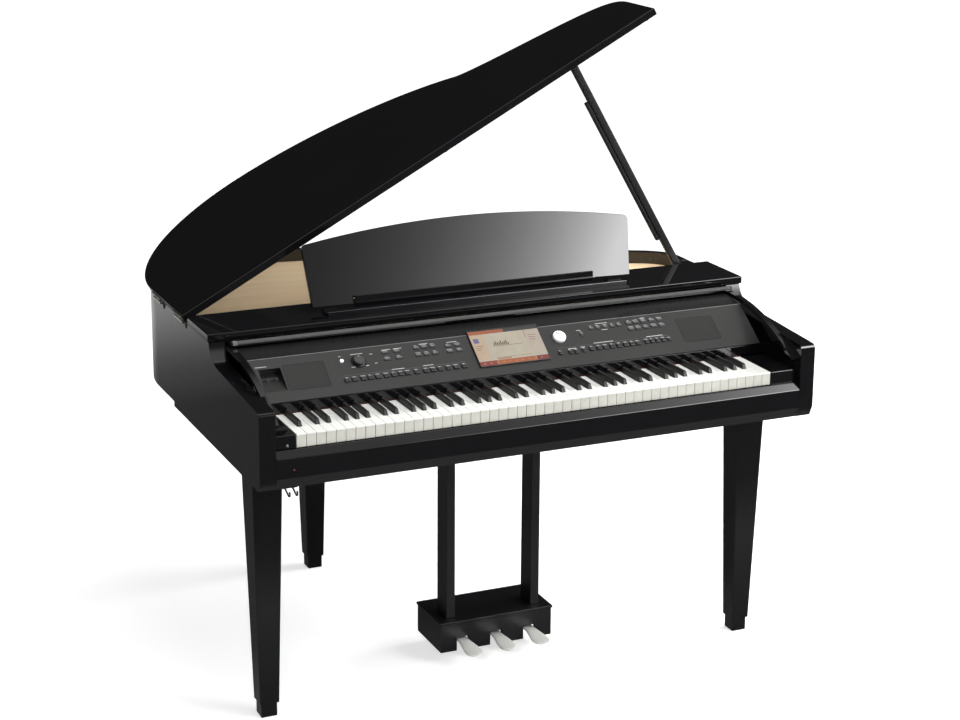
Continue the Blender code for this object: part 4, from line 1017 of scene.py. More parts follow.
@dataclass
class ControlPanel:
    """The sloped panel with its buttons, knobs, grilles and display."""

    front: Point2 = (0.165, 0.786)
    tilt: float = math.radians(35.7)
    half: float = 0.658
    length: float = 0.129
    screen: Area = (-0.100, 0.086, 0.027, 0.138)
    bay: Area = (-0.634, -0.581, 0.032, 0.098)
    left_grille: Area = (-0.575, -0.475, 0.030, 0.103)
    right_grille: Area = (0.459, 0.560, 0.030, 0.103)
    volume: Point2 = (-0.390, 0.0890)
    skin: Point2 = (0.00002, 0.00012)

    def axes(self) -> Matrix:
        """The panel's own axes: x across, y up the slope, z out of its face."""
        return Matrix.Translation((0, depth(self.front[0]), self.front[1])) @ Matrix.Rotation(self.tilt, 4,
                                                                                              "X")

    def on_panel(self, shape: Shape, name: str, body: str, finish: Finish,
                 replaces: Sequence[str] = ()) -> bpy.types.Object:
        """Build a piece made in the panel's axes."""
        return fit(shape.move(self.axes()).build(name), body, finish, replaces)

    def button_places(self, side: int) -> list[Area]:
        """Button centres and sizes left or right of the display."""
        if side < 0:
            row = (-0.4327, -0.4151, -0.3933, -0.3759, -0.3572, -0.3361, -0.3172, -0.2993, -0.2824, -0.2594,
                   -0.2359, -0.2179, -0.1998, -0.1780, -0.1588, -0.1375)
            places = [(x, 0.0385, 0.0135, 0.0110) for x in row]
            places += [(x, s, 0.0160, 0.0070) for x in (-0.3187, -0.2887) for s in (0.0860, 0.1060)]
            places += [(x, s, 0.0145, 0.0090) for x in (-0.2388, -0.2179, -0.1961) for s in (0.0870, 0.1085)]
            return places + [(x, s, 0.0150, 0.0075) for x in (-0.1580, -0.1335) for s in (0.0870, 0.1030)]
        places = [(0.1180, 0.0424, 0.009, 0.0095), (0.1815, 0.0425, 0.0095, 0.0110),
                  (0.4175, 0.0440, 0.009, 0.0095), (0.1940, 0.0919, 0.009, 0.0110)]
        places += [(x, 0.0415, 0.0095, 0.0110) for x in (0.1447, 0.1602)]
        row = (0.2032, 0.2226, 0.2406, 0.2590, 0.2779, 0.2964, 0.3139, 0.3304)
        places += [(x, 0.0440, 0.0125, 0.0115) for x in row]
        places += [(x, 0.0452, 0.0105, 0.0115) for x in (0.3551, 0.3698, 0.3853, 0.4015)]
        places += [(x, 0.1060, 0.0120, 0.0085) for x in (0.2256, 0.2443, 0.2645, 0.2838, 0.3031)]
        columns = (0.3308, 0.3500, 0.3716, 0.3942, 0.4168)
        return places + [(x, s, 0.0155, 0.0095) for x in columns for s in (0.0900, 0.1090)]

    def caps(self, side: int) -> None:
        """Rounded button caps, one piece for each strip, each with a pale bar near its upper edge that is a
        painted highlight, in a dark flush sheet of painted shade.
        """
        body = "left_buttons" if side < 0 else "right_buttons"
        caps, bars, gap_shades = Shape(), Shape(), Shape()
        for x, s, width, height in self.button_places(side):
            outline = rounded_rect((x - width / 2, x + width / 2), (s - height / 2, s + height / 2), 0.0016,
                                   3)
            rise = 0.0 if s > 0.08 else 0.0020
            levels = ((0.0, -0.0050), (0.0, 0.0010 + rise), (0.0003, 0.0016 + rise), (0.0012, 0.0020 + rise),
                      (0.0030, 0.0016 + rise))
            caps.loft(stack([(outline, inwards, z) for inwards, z in levels]))
            # A dark flush sheet round each cap: painted shade of the gap round it.
            rim = rounded_rect((x - width / 2 - 0.0009, x + width / 2 + 0.0009),
                               (s - height / 2 - 0.0011, s + height / 2 + 0.0006), 0.0022, 3)
            gap_shades.loft(stack([(rim, 0.0, z) for z in self.skin]))
            # A pale bar near each cap's upper edge: painted highlight of the lit top edge.
            reach, low = (width * 0.42, 0.0) if s > 0.08 else (width * 0.38, 0.30)
            self.thin(bars, (x - reach, x + reach), (s + height * low, s + height * 0.42),
                      (0.0012 + rise, 0.00205 + rise))
        self.on_panel(caps, body + "_caps", body, BUTTON, [body])
        self.on_panel(bars, body + "_bars", body, CAP_EDGE_HIGHLIGHT)
        self.on_panel(gap_shades, body + "_gap_shades", "case", GAP_SHADE)

    def thin(self, shape: Shape, x: Point2, s: Point2, z: Point2 = (0.0, 0.00012)) -> None:
        """Add a thin plate in panel axes."""
        shape.loft([in_axis(((x[0], s[0]), (x[1], s[0]), (x[1], s[1]), (x[0], s[1])), level,
                            Axis.Z) for level in z])

    def prints(self) -> None:
        """Plain printed ticks above the buttons and thin lines that group them."""
        ticks, lines = Shape(), Shape()
        for side in (-1, 1):
            for i, (x, s, width, height) in enumerate(self.button_places(side)):
                reach = width * (0.22 + 0.11 * (i * 7 % 3))
                above = s + height / 2 + 0.0024
                self.thin(ticks, (x - reach, x + reach), (above, above + 0.0010))
        for x0, x1, s in ((-0.440, -0.130, 0.0520), (0.112, 0.336, 0.0580), (0.349, 0.424, 0.0580),
                          (0.219, 0.310, 0.1165)):
            self.thin(lines, (x0, x1), (s, s + 0.0005))
        for x0, x1, s in ((-0.318, -0.286, 0.0538), (-0.238, -0.212, 0.0538), (-0.404, -0.374, 0.1110),
                          (-0.325, -0.303, 0.1135), (-0.296, -0.274, 0.1135), (-0.228, -0.206, 0.1180),
                          (-0.158, -0.132, 0.1140), (-0.412, -0.402, 0.0740), (-0.376, -0.368, 0.0740),
                          (-0.358, -0.350, 0.1060), (-0.352, -0.346, 0.0780), (-0.435, -0.429, 0.1090),
                          (-0.640, -0.612, 0.1045), (0.215, 0.268, 0.0600), (0.360, 0.406, 0.0600),
                          (0.241, 0.274, 0.1180), (0.365, 0.379, 0.1190), (0.184, 0.196, 0.1040),
                          (0.142, 0.164, 0.0520), (0.176, 0.188, 0.0525), (0.252, 0.268, 0.0975)):
            self.thin(ticks, (x0, x1), (s, s + 0.0015))
        self.on_panel(ticks, "panel_ticks", "case", PRINT)
        self.on_panel(lines, "panel_lines", "case", FAINT_PRINT)

    def edge_highlight(self) -> None:
        """The pale line along the panel's top edge: a painted highlight on the edge."""
        strip = Shape()
        for x0, x1 in ((-self.half, self.screen[0] - 0.002), (self.screen[1] + 0.002, self.half)):
            self.thin(strip, (x0, x1), (self.length - 0.0013, self.length - 0.0001), (0.0, 0.0006))
        self.on_panel(strip, "panel_edge_highlight", "case", PANEL_EDGE)

    def shaded_upper_panel(self) -> None:
        """The glossy sheet that runs back from the panel's top edge, under the cover; its gloss is its own,
        its darker colour is painted shade from the cover and top board above.
        """
        fold, rear = math.radians(27.7), 0.0775
        x0, x1 = -self.half + 0.0005, self.half - 0.0005
        rings = []
        for lift in (0.00005, 0.0005):
            start = (self.length + 0.0004, lift)
            end = (self.length + rear * math.cos(fold), lift - rear * math.sin(fold))
            rings.append([(x0, *start), (x1, *start), (x1, *end), (x0, *end)])
        self.on_panel(Shape().loft(rings), "shaded_upper_panel_sheet", "case", SHADED_UPPER_PANEL)

    def inset(self, area: Area, by: float, radius: float) -> list[Point2]:
        """A round-cornered loop inside an area, or around it where the distance is negative."""
        x0, x1, s0, s1 = area
        return rounded_rect((x0 + by, x1 - by), (s0 + by, s1 - by), radius)

    def grille(self, name: str, area: Area) -> None:
        """A grille: a frame with fine bars over cloth, in a dark border of painted shade for the gap round it.
        """
        x0, x1, s0, s1 = area
        low, high = self.skin
        deep, wide, count = -0.0026, 0.0022, 44
        outer, inner = self.inset(area, GAP, 0.003), self.inset(area, wide, 0.002)
        edge = self.inset(area, -0.0009, 0.004)
        shape = Shape().loft(stack(((outer, 0.0, deep), (outer, 0.0, 0.0), (inner, 0.0, -0.0002),
                                    (inner, 0.0, deep))), wrap=True)
        pitch = (s1 - s0 - 0.0050) / count
        for i in range(count):
            start = s0 + 0.0025 + pitch * i
            self.thin(shape, (x0 + 0.0021, x1 - 0.0021), (start + pitch * 0.08, start + pitch * 0.92),
                      (-0.0012, -0.0003))
        self.on_panel(shape, name + "_bars", "case", GRILLE_BAR, [name])
        # The dark flush border round the grille is painted shade of the gap round it.
        border = Shape().loft(stack(((edge, 0.0, low), (edge, 0.0, high), (outer, 0.0, high), (outer, 0.0,
                                                                                               low))),
                              wrap=True)
        self.on_panel(border, name + "_border", "case", GAP_SHADE)
        cloth = Shape()
        self.thin(cloth, (x0 + wide, x1 - wide), (s0 + wide, s1 - wide), (deep, -0.0019))
        self.on_panel(cloth, name + "_cloth", "case", GRILLE_CLOTH)

    def knob(self, name: str, x: float, s: float, profile: Sequence[Point2], finish: Finish,
             ribs: int = 0) -> None:
        """A turned knob, its side fluted where ribs are given."""
        shape = lathe(profile, max(64, ribs * 4))
        if ribs:
            for vert in shape.bm.verts:
                radius = math.hypot(vert.co.x, vert.co.y)
                if radius > profile[1][0] * 0.93:
                    turn = math.atan2(vert.co.y, vert.co.x)
                    vert.co.xy *= 1 - 0.022 * (0.5 + 0.5 * math.cos(turn * ribs))
        self.on_panel(shape.move(Matrix.Translation((x, s, 0.0))), name + "_dressed", name, finish, [name])

    def turned(self, name: str, body: str, finish: Finish, place: Point3, profile: Sequence[Point2],
               steps: int) -> None:
        """A small turned piece on the panel."""
        self.on_panel(lathe(profile, steps).move(Matrix.Translation(place)), name, body, finish)

    def knobs(self) -> None:
        """Volume knob, data dial and power button."""
        x, s = self.volume
        self.knob("volume_knob", x, s, ((0.0, GAP), (0.0160, GAP), (0.0160, 0.0020), (0.0152, 0.0024),
                  (0.0150, 0.0085), (0.0142, 0.0095), (0.0120, 0.0098), (0.0, 0.0098)), DARK_KNOB, 28)
        self.turned("volume_knob_top", "volume_knob", KNOB_TOP, (x, s, 0.0), (
            (0.0, 0.0097), (0.0116, 0.0097), (0.0116, 0.0100), (0.0112, 0.0102), (0.0, 0.0102)), 48)
        self.knob("data_dial", 0.1316, 0.0900, ((0.0, GAP), (0.0165, GAP), (0.0165, 0.0050), (0.0160, 0.0068),
                  (0.0148, 0.0078), (0.0100, 0.0080), (0.0, 0.0080)), SILVER)
        self.knob("power_button", -0.430, 0.0965, ((0.0, -0.0015), (0.0046, -0.0015), (0.0046, 0.0018),
                  (0.0040, 0.0025), (0.0, 0.0025)), POWER_CAP)
        # A dark flush ring at the volume knob's foot: painted shade of the gap round it.
        self.turned("volume_knob_gap_shade", "case", GAP_SHADE, (x, s, 0.0), (
            (0.0, 0.00002), (0.0186, 0.00002), (0.0186, 0.0001), (0.0178, 0.00025), (0.0, 0.00025)), 64)
        self.turned("dial_dimple", "data_dial", PANEL_EDGE, (0.1296, 0.0985, -0.0002), (
            (0.0, 0.00801), (0.0042, 0.00801), (0.0046, 0.0082), (0.0038, 0.0083), (0.0, 0.0081)), 32)
        mark = Shape()
        self.thin(mark, (-0.3907, -0.3893), (0.0965, 0.1000), (0.0101, 0.0103))
        self.on_panel(mark, "volume_mark", "volume_knob", PRINT)

    def usb_bay(self) -> None:
        """Dark lining, a grey slope, two sockets and a rim for the bay at the panel's left."""
        x0, x1, s0, s1 = self.bay
        lining = Shape()
        self.thin(lining, (x0 + 0.0002, x1 - 0.0002), (s0 + 0.0002, s1 - 0.0002), (-0.0178, -0.0172))
        self.on_panel(lining, "usb_bay_floor", "case", GLASS)
        ramp_section = ((s0 + 0.0003, -0.0170), (s0 + 0.042, -0.0170), (s0 + 0.0003, -0.0012))
        slope = Shape().loft([[(x, s, z) for s, z in ramp_section] for x in (x0 + 0.0003, x1 - 0.0003)])
        self.on_panel(slope, "usb_bay_slope", "case", PANEL)
        for i, x in enumerate((-0.621, -0.600)):
            outer = rounded_rect((x - 0.0066, x + 0.0066), (0.0760, 0.0808), 0.0008, 2)
            inner = rounded_rect((x - 0.0058, x + 0.0058), (0.0768, 0.0800), 0.0005, 2)
            rings = stack(((outer, 0.0, -0.0171), (outer, 0.0, -0.0150), (inner, 0.0, -0.0150),
                           (inner, 0.0, -0.0168)))
            self.on_panel(Shape().loft(rings), f"usb_socket_{i + 1}", "case", BUTTON)
        outer, inner = self.inset(self.bay, -0.0012, 0.0020), self.inset(self.bay, 0.0001, 0.0012)
        rim = Shape().loft(stack(((outer, 0.0, 0.0), (outer, 0.0, 0.0004), (inner, 0.0, 0.0005), (inner, 0.0,
                                                                                                  0.0))),
                           wrap=True)
        self.on_panel(rim, "usb_bay_rim", "case", GRILLE_BAR)

    def display(self) -> None:
        """Bezel and a plain layout of coloured areas."""
        x0, x1, s0, s1 = self.screen
        outer = rounded_rect((x0, x1), (s0, s1), 0.0022)
        inner = rounded_rect((x0 + 0.0016, x1 - 0.0022), (s0 + 0.0016, s1 - 0.0040), 0.0008)
        bezel = Shape().loft(stack(((outer, 0.0, GAP), (outer, 0.0, 0.0040), (outer, 0.0006, 0.0045),
                                    (inner, 0.0, 0.0045), (inner, 0.0, 0.0041))))
        self.on_panel(bezel, "display_bezel", "case", GRILLE_BAR, ["display_screen"])
        left, right, low, high = x0 + 0.0018, x1 - 0.0024, s0 + 0.0018, s1 - 0.0042
        cream, peach = (0.50, 0.45, 0.35), (0.54, 0.40, 0.28)
        orange, red = (0.40, 0.12, 0.055), (0.26, 0.050, 0.035)
        z0 = 0.00412
        bar, strip = high - 0.0105, low + 0.013
        patches = [
            ("page", cream, (0.50, 0.44, 0.34), (left, right, low, high), 0.0),
            ("header", orange, (0.16, 0.07, 0.05), (left, left + 0.092, bar, high), 0.00006),
            ("header_end", (0.045, 0.042, 0.042), (0.04, 0.04, 0.04), (left + 0.092, right, bar, high),
             0.00006),
            ("divider", (0.20, 0.17, 0.13), (0.16, 0.14, 0.11), (right - 0.040, right - 0.0385, high - 0.034,
                                                                 bar),
             0.00010),
            ("side_list", peach, (0.50, 0.44, 0.33), (left, left + 0.036, low + 0.017, bar), 0.00006),
            ("side_page", (0.50, 0.42, 0.34), (0.48, 0.44, 0.38), (right - 0.038, right, low + 0.017, bar),
             0.00006),
            ("foot_left", red, (0.30, 0.06, 0.04), (left, left + 0.046, low, strip), 0.00006),
            ("foot_middle", (0.40, 0.13, 0.05), (0.34, 0.07, 0.04), (left + 0.047, right - 0.034, low, strip),
             0.00006),
            ("foot_right", (0.20, 0.045, 0.04), red, (right - 0.033, right, low, strip), 0.00006),
        ]
        for name, colour, other, (a, b, c, d), lift in patches:
            shape = Shape()
            self.thin(shape, (a, b), (c, d), (z0 + lift, z0 + lift + 0.00005))
            self.on_panel(shape, "screen_" + name, "case", screen_light(name, colour, other, (a, b)))
        dark: list[Area] = []
        for i in range(3):
            below = 0.006 * i
            dark.append((left + 0.006, left + 0.026 - 0.004 * i, high - 0.046 - below, high - 0.0448 - below))
        for i in range(9):
            height = 0.004 + 0.009 * abs(math.sin(1.1 * i + 0.4))
            dark.append((left + 0.054 + 0.0046 * i, left + 0.0568 + 0.0046 * i, high - 0.048,
                         high - 0.048 + height))
        dark.append((left + 0.052, right - 0.052, high - 0.0505, high - 0.0495))
        for i in range(3):
            below = 0.007 * i
            dark.append((right - 0.032, right - 0.010 - 0.003 * i, high - 0.028 - below,
                         high - 0.0268 - below))
        dark.append((left + 0.047, right - 0.040, low + 0.0200, low + 0.0208))
        starts = [left + 0.010 + 0.0166 * i for i in range(10)]
        pale = [(x, x + 0.0045, low + 0.0045, low + 0.0080) for x in starts]
        pale.append((left + 0.050, left + 0.086, low + 0.0145, low + 0.0185))
        tile = [(left + 0.006, left + 0.020, high - 0.036, high - 0.022)]
        for name, colour, areas in (("tile_blue", (0.16, 0.15, 0.30), tile), ("dark_marks", (0.16, 0.10, 0.07),
                                                                              dark),
                                    ("pale_marks", (0.42, 0.20, 0.12), pale)):
            shape = Shape()
            for a, b, c, d in areas:
                self.thin(shape, (a, b), (c, d), (z0 + 0.00012, z0 + 0.00016))
            self.on_panel(shape, "screen_" + name, "case", screen_light(name, colour))

    def build(self) -> None:
        """Make the panel."""
        dress_node("control_panel", PANEL)
        for side in (-1, 1):
            self.caps(side)
        self.prints()
        self.edge_highlight()
        self.shaded_upper_panel()
        self.grille("left_speaker_grille", self.left_grille)
        self.grille("right_speaker_grille", self.right_grille)
        self.knobs()
        self.usb_bay()
        self.display()


@dataclass
class KeyCover:
    """The curved cover behind the panel, with its grip strip along the front edge, whose grey is a painted
    reflection of the bright studio.
    """

    axis: Point2 = (0.340, 0.284)
    radius: float = 0.6015
    thickness: float = 0.0075
    half: float = 0.670
    sweep: float = math.radians(33.0)

    def build(self) -> None:
        """Make the cover and its strip."""
        centre = (depth(self.axis[0]), self.axis[1])
        front, rear = math.pi / 2 + math.radians(0.6), math.pi / 2 - self.sweep
        inner = self.radius - self.thickness
        outline = arc(centre, self.radius, rear, front, 60) + arc(centre, inner, front, rear, 60)
        shape = prism(outline, -self.half, self.half, Axis.X)
        fit(round_edges(shape.build("key_cover_dressed"), 0.001, 2), "key_cover", LACQUER, ["key_cover"])
        lip = [(0.3306, 0.8832), (0.3328, 0.8822), (0.3385, 0.8862), (0.3420, 0.8874), (0.3415, 0.8896),
               (0.3345, 0.8898), (0.3314, 0.8886), (0.3304, 0.8866)]
        # The grip strip's grey is a painted reflection of the bright studio.
        strip = prism([(depth(d), z) for d, z in lip], -0.655, 0.668, Axis.X)
        fit(round_edges(strip.build("cover_grip"), 0.0004, 2), "key_cover", COVER_LIP_REFLECTION)
        for name, x in (("left", (-0.6660, -0.6555)), ("right", (0.6685, 0.6700))):
            end = block(x, (depth(0.3298), depth(0.3420)), (0.8822, 0.8904), 0.0005, Axis.X)
            fit(end.build(f"cover_grip_{name}_end"), "key_cover", COVER_END)


@dataclass
class MusicRest:
    """The rest with its notch, its stay and the ledge that carries it."""

    hinge: Point2 = (0.4465, 0.9195)
    angle: float = math.radians(74.0)
    half: float = 0.4304
    flare: float = 0.0125
    corner_height: float = 0.152
    middle: float = 0.190
    thickness: float = 0.010

    def axes(self) -> Matrix:
        """The rest's own axes: x across, y up the board, z out of its front."""
        return Matrix.Translation((0, depth(self.hinge[0]), self.hinge[1])) @ Matrix.Rotation(self.angle, 4,
                                                                                              "X")

    def outline(self) -> list[Point2]:
        """The rest square on: arched top, round corners and a long notch below."""
        notch, high, small = 0.324, 0.016, 0.006
        top = self.half + self.flare
        rise = self.middle - self.corner_height
        radius = (top ** 2 + rise ** 2) / (2 * rise)
        corner = 0.014
        sweep = math.asin((top - corner) / radius)
        crown = arc((0.0, self.middle - radius), radius, math.pi / 2 - sweep, math.pi / 2 + sweep, 90)
        start, end = Vector(crown[0]), Vector((top - 0.0008, self.corner_height - 0.012))
        turn = bezier(tuple(end), (end.x + 0.0006, end.y + 0.008), (start.x + 0.008, start.y - 0.001),
                      tuple(start), 8)
        right = [(notch + small, 0.0), (self.half, 0.0)] + turn
        left = [(-x, y) for x, y in reversed(right)]
        lower = arc((-notch - small, small), small, -math.pi / 2, 0.0, 5)
        upper = arc((-notch + small, high - small), small, math.pi, math.pi / 2, 5)
        left_notch = lower + upper
        return right + crown + left[:-1] + left_notch + [(-x, y) for x, y in reversed(left_notch)]

    def build(self) -> None:
        """Make the rest, stay and ledge."""
        half = self.thickness / 2
        board = prism(self.outline(), -half, half, round_by=0.0012, steps=2).move(self.axes())
        fit(board.build("music_rest_dressed"), "music_rest", LACQUER, ["music_rest"])
        stop = prism(rounded_rect((-0.3235, 0.3235), (0.9125, 0.9415), 0.003), -depth(0.4402), -depth(0.4374),
                     round_by=0.0008, steps=2).move(Matrix.Rotation(math.pi / 2, 4, "X"))
        fit(stop.build("ledge_backstop"), "case", LACQUER)
        dress_node("music_rest_stay", NICKEL)
        dress_node("music_rest_ledge", LEDGE_BLACK)
        low = 0.906 + GAP
        lip = [(0.4050, low + 0.0058), (0.4100, low + 0.0058), (0.4100, low + 0.0090), (0.4072, low + 0.0092),
               (0.4062, low + 0.0090)]
        strip = prism([(depth(d), z) for d, z in lip], -0.4032, 0.4032, Axis.X)
        fit(strip.build("ledge_lip"), "case", LEDGE)


@dataclass
class Props:
    """The long prop, the short prop and their bracket."""

    place: float = 0.562
    base: Point2 = (0.650, 0.874)

    def build(self) -> None:
        """Make both props, their bracket and its bolt."""
        for name in ("lid_prop", "short_prop"):
            round_copy(name, PROP_BLACK, 0.0004, 2, 25, body=name)
        dress_node("prop_bracket", NICKEL)
        bolt = lathe(((0.0, -0.0118), (0.004, -0.0118), (0.0045, -0.0112), (0.0045, -0.0106), (0.0, -0.0106)),
                     20)
        place = Matrix.Translation((self.base[0], depth(self.place), self.base[1]))
        bolt.move(place @ Matrix.Rotation(-math.pi / 2, 4, "X"))
        fit(bolt.build("prop_bolt"), "case", NICKEL)


@dataclass
class Stand:
    """Legs, posts, pedal box and pedals."""

    pitch: float = 0.092
    arch: float = 0.0095

    def pedal(self, name: str, x: float) -> None:
        """A crowned chrome blade that widens to a round tip."""
        tip, neck, rear = 0.212, 0.3000, 0.436
        wide, narrow = 0.0225, 0.0145
        stations = []
        for i in range(9):
            turn = math.pi / 2 * i / 8
            stations.append((tip + wide * (1 - math.cos(turn)), max(0.0012, wide * math.sin(turn))))
        for i in range(1, 13):
            share = i / 12
            smooth = share * share * (3 - 2 * share)
            stations.append((tip + wide + (neck - tip - wide) * share, wide + (narrow - wide) * smooth))
        stations += [(neck + (rear - neck) * i / 8, narrow) for i in range(1, 9)]
        rings = []
        for d, half in stations:
            rise = self.arch * math.sin(math.pi * min(1.0, (rear - d) / (rear - 0.160))) ** 2
            share = min(1.0, half / wide * 1.3)
            top, low = 0.0450 + rise + 0.0026 * share, 0.0440 + rise - 0.0030 * share
            ring = []
            for k in range(20):
                turn = 2 * math.pi * k / 20
                c, s = math.cos(turn), math.sin(turn)
                across = math.copysign(abs(c) ** 0.55, c) * half
                height = (top + low) / 2 + math.copysign(abs(s) ** 0.75, s) * (top - low) / 2
                ring.append((x + across, depth(d), height))
            rings.append(ring)
        # The blade's pale colour is mostly painted reflection of the bright surroundings, the rest real metal.
        fit(Shape().loft(rings).build(name + "_blade"), name, CHROME_AND_PAINTED_SHINE, [name])

    def build(self) -> None:
        """Make the stand."""
        for name in ("front_left_leg", "front_right_leg", "rear_leg"):
            round_copy(name, LACQUER, 0.0012, 2, 25)
        for name in ("left_pedal_post", "right_pedal_post", "pedal_box_top"):
            round_copy(name, BOX_BLACK, 0.0008, 2, 25)
        round_copy("pedal_box", BOX_BLACK, 0.0010, 2, 28)
        comb = [(-0.140, 0.098), (-0.140, 0.0592)]
        for i in (-1, 0, 1):
            clear, until = self.pitch * i + 0.0160, self.pitch * (i + 1) - 0.0175
            comb += [(clear, 0.0592), (clear, 0.044), (until, 0.044), (until, 0.0592)]
        comb = comb[:-2] + [(0.140, 0.044), (0.140, 0.098)]
        liner = prism(comb[::-1], -depth(0.3125), -depth(0.3110)).move(Matrix.Rotation(math.pi / 2, 4, "X"))
        fit(liner.build("pedal_box_liner"), "case", PROP_BLACK)
        for name, i in (("left_pedal", -1), ("middle_pedal", 0), ("right_pedal", 1)):
            self.pedal(name, self.pitch * i)


# Studio


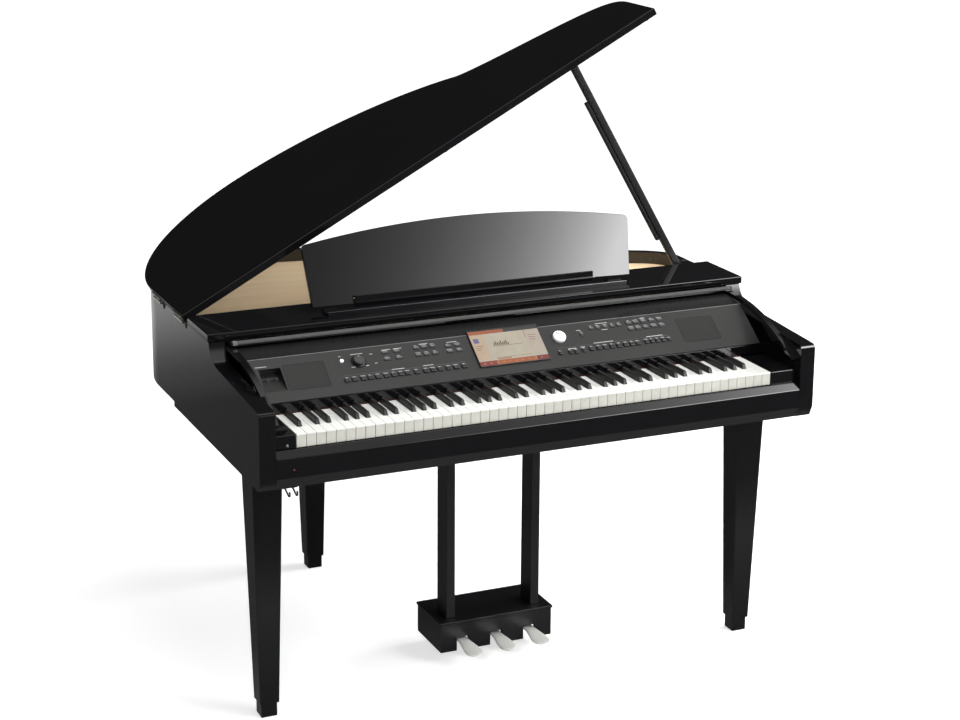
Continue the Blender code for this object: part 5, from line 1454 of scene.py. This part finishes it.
@dataclass
class Studio:
    """Camera, floor, lamps and surroundings."""

    place: Point3 = (-2.0589, -4.212, 2.26)
    yaw: float = 0.4136
    pitch: float = 0.2618
    roll: float = 0.0049
    focal: float = 2114.1
    centre: Point2 = (470.0, 300.0)
    size: tuple[int, int] = (960, 720)
    sensor: float = 36.0
    ambient: float = 0.28
    softbox_edge: float = math.radians(17.4)
    softbox_lean: float = -0.557
    softbox_level: float = 6.1
    softbox_cap: float = 15.6
    # Brightness of the floor in reflections by y: painted shade near the object, a painted pool of softbox
    # light near y = -0.95 and a bright backdrop beyond y = 3.
    mirrored_floor_with_painted_light: tuple[Point2, ...] = ((-3.0, 0.14), (-2.0, 0.13), (-1.3, 0.17), (-0.95, 0.40), (-0.6,
                                                                                                    0.26),
                                          (0.0, 0.09), (2.0, 0.10), (2.44, 0.21), (2.64, 0.30), (3.25, 0.73),
                                          (5.0, 0.80))

    def camera(self) -> None:
        """The photograph's viewpoint."""
        width, height = self.size
        data = bpy.data.cameras.new("camera")
        data.sensor_width = self.sensor
        data.lens = self.focal * self.sensor / width
        data.shift_x = (width / 2 - self.centre[0]) / width
        data.shift_y = (self.centre[1] - height / 2) / width
        data.clip_end = 200.0
        obj = bpy.data.objects.new("camera", data)
        bpy.context.scene.collection.objects.link(obj)
        cp, sp = math.cos(self.pitch), math.sin(self.pitch)
        ahead = Vector((math.sin(self.yaw) * cp, math.cos(self.yaw) * cp, -sp))
        right = Vector((math.cos(self.yaw), -math.sin(self.yaw), 0.0))
        up = right.cross(ahead)
        cr, sr = math.cos(self.roll), math.sin(self.roll)
        right, up = right * cr + up * sr, up * cr - right * sr
        turn = Matrix((right, up, -ahead)).transposed().to_4x4()
        obj.matrix_world = Matrix.Translation((self.place[0], depth(self.place[1]), self.place[2])) @ turn
        bpy.context.scene.camera = obj

    def lamp(self, name: str, place: Point3, aim: Point3, size: tuple[float, float], power: float) -> None:
        """A soft rectangular lamp aimed at a point, neither seen nor mirrored."""
        data = bpy.data.lights.new(name, "AREA")
        data.shape = "RECTANGLE"
        data.size, data.size_y = size
        data.energy = power
        obj = bpy.data.objects.new(name, data)
        bpy.context.scene.collection.objects.link(obj)
        obj.location = place
        obj.rotation_euler = (Vector(aim) - Vector(place)).to_track_quat("-Z", "Y").to_euler()
        obj.visible_glossy = False
        obj.visible_camera = False

    def floor(self) -> None:
        """A pale floor that keeps the object's shadow and shows up in gloss with painted shade near the object
        and a painted pool of softbox light in front.
        """
        half = 30.0
        floor = Shape().loft([[(-half, -half, z), (half, -half, z), (half, half, z), (-half, half, z)]
                              for z in (-0.02, -0.0005)]).build("floor")
        material = bpy.data.materials.new("pale_floor")
        material.use_nodes = True
        tree = material.node_tree
        path = add_node(tree, "LightPath").outputs
        mirrored = compute(tree, "MAXIMUM", path["Is Glossy Ray"], path["Is Transmission Ray"])
        patches = add_node(tree, "TexNoise", {"Scale": 3.0, "Detail": 4.0}).outputs["Fac"]
        tint = ramp(tree, patches, ((0.3, (0.80, 0.80, 0.80)), (0.7, (0.82, 0.82, 0.82))))
        position = add_node(tree, "NewGeometry").outputs["Position"]
        start, end = self.mirrored_floor_with_painted_light[0][0], self.mirrored_floor_with_painted_light[-1][0]
        # Seen in gloss the floor shows painted shade near the object and a painted pool of softbox light in
        # front.
        gloss = ramp(tree, remap(tree, components(tree, position)["Y"], (start, end)),
                     [((y - start) / (end - start), (level, level, level)) for y,
                      level in self.mirrored_floor_with_painted_light])
        away = add_node(tree, "VectorMath", {0: position}, operation="LENGTH").outputs["Value"]
        seen = compute(tree, "MULTIPLY", path["Is Camera Ray"], remap(tree, away, (1.2, 5.0), (0.60, 0.90)))
        shown = compute(tree, "MULTIPLY", mirrored, gloss)
        feed(tree.nodes["Principled BSDF"], {
            "Roughness": 0.9, "Specular IOR Level": 0.0, "Emission Color": (1.0, 1.0, 1.0, 1.0),
            "Base Color": mix_colours(tree, mirrored, tint, (0.0, 0.0, 0.0, 1.0)),
            "Emission Strength": compute(tree, "ADD", seen, shown)})
        floor.data.materials.append(material)

    def softbox(self, tree: bpy.types.NodeTree, parts: bpy.types.bpy_prop_collection) -> bpy.types.NodeSocket:
        """Brightness of a large soft lamp at the front right, whose near edge fades and leans.

        Args:
            tree: Tree of the world.
            parts: The components of the direction.

        Returns:
            Socket with the brightness.
        """
        azimuth = compute(tree, "ARCTAN2", parts["X"], compute(tree, "MULTIPLY", parts["Y"], -1.0))
        height = compute(tree, "ARCSINE", parts["Z"])
        edge = compute(tree, "SUBTRACT", azimuth, self.softbox_edge)
        leaning = compute(tree, "MULTIPLY_ADD", height, self.softbox_lean, edge)
        slope = remap(tree, height, (math.radians(15), math.radians(49)), (24.0, 7.5))
        power = compute(tree, "MULTIPLY_ADD", leaning, slope, math.log(self.softbox_level))
        level = compute(tree, "MINIMUM", compute(tree, "EXPONENT", power), self.softbox_cap)
        for angle, start, end in ((azimuth, 78, 56), (height, 58, 28), (height, 1, 7)):
            fade = remap(tree, angle, (math.radians(start), math.radians(end)), smooth=True)
            level = compute(tree, "MULTIPLY", level, fade)
        above = remap(tree, height, (math.radians(40), math.radians(62)), smooth=True)
        return compute(tree, "ADD", level, above)

    def surroundings(self) -> None:
        """World light: white to the camera, dark walls and one large soft lamp in reflections."""
        world = bpy.data.worlds.new("studio")
        bpy.context.scene.world = world
        world.use_nodes = True
        tree = world.node_tree
        tree.nodes.clear()
        parts = components(tree, add_node(tree, "TexCoord").outputs["Generated"])
        wall = remap(tree, parts["Y"], (-0.35, 0.15), (0.096, 0.024), smooth=True)
        total = compute(tree, "ADD", self.softbox(tree, parts), wall)
        path = add_node(tree, "LightPath").outputs
        glossy = add_node(tree, "Mix", {"Factor": path["Is Glossy Ray"], 2: self.ambient,
                                        3: total}).outputs[0]
        white = compute(tree, "MAXIMUM", path["Is Camera Ray"], path["Is Transmission Ray"])
        seen = add_node(tree, "Mix", {"Factor": white, 2: glossy, 3: 1.0}).outputs[0]
        background = add_node(tree, "Background", {"Color": (1.0, 1.0, 1.0, 1.0), "Strength": seen})
        add_node(tree, "OutputWorld", {0: background.outputs[0]})

    def build(self) -> None:
        """Set the studio up."""
        self.camera()
        self.floor()
        self.surroundings()
        for lamp in (("camera_light", (-2.4, -5.2, 2.5), (0.0, 0.0, 0.6), (1.8, 1.8), 55.0),
                     ("right_light", (2.5, -2.9, 3.2), (0.0, 0.0, 0.9), (2.2, 2.2), 120.0),
                     ("top_light", (0.3, -1.3, 4.2), (0.1, -0.3, 0.8), (2.4, 1.6), 105.0),
                     ("side_light", (3.0, -0.2, 1.9), (-0.4, 0.0, 0.95), (1.6, 0.8), 120.0)):
            self.lamp(*lamp)
        bpy.context.scene.view_settings.view_transform = "Standard"


def main() -> None:
    """Build the studio and every sub-assembly."""
    logging.basicConfig(level=logging.INFO, format="%(name)s: %(message)s")
    Studio().build()
    for part in (CaseShell(), Lid(), Keyboard(), ControlPanel(), KeyCover(), MusicRest(), Props(), Stand()):
        part.build()
    bpy.context.view_layer.update()


if __name__ == "__main__":
    main()
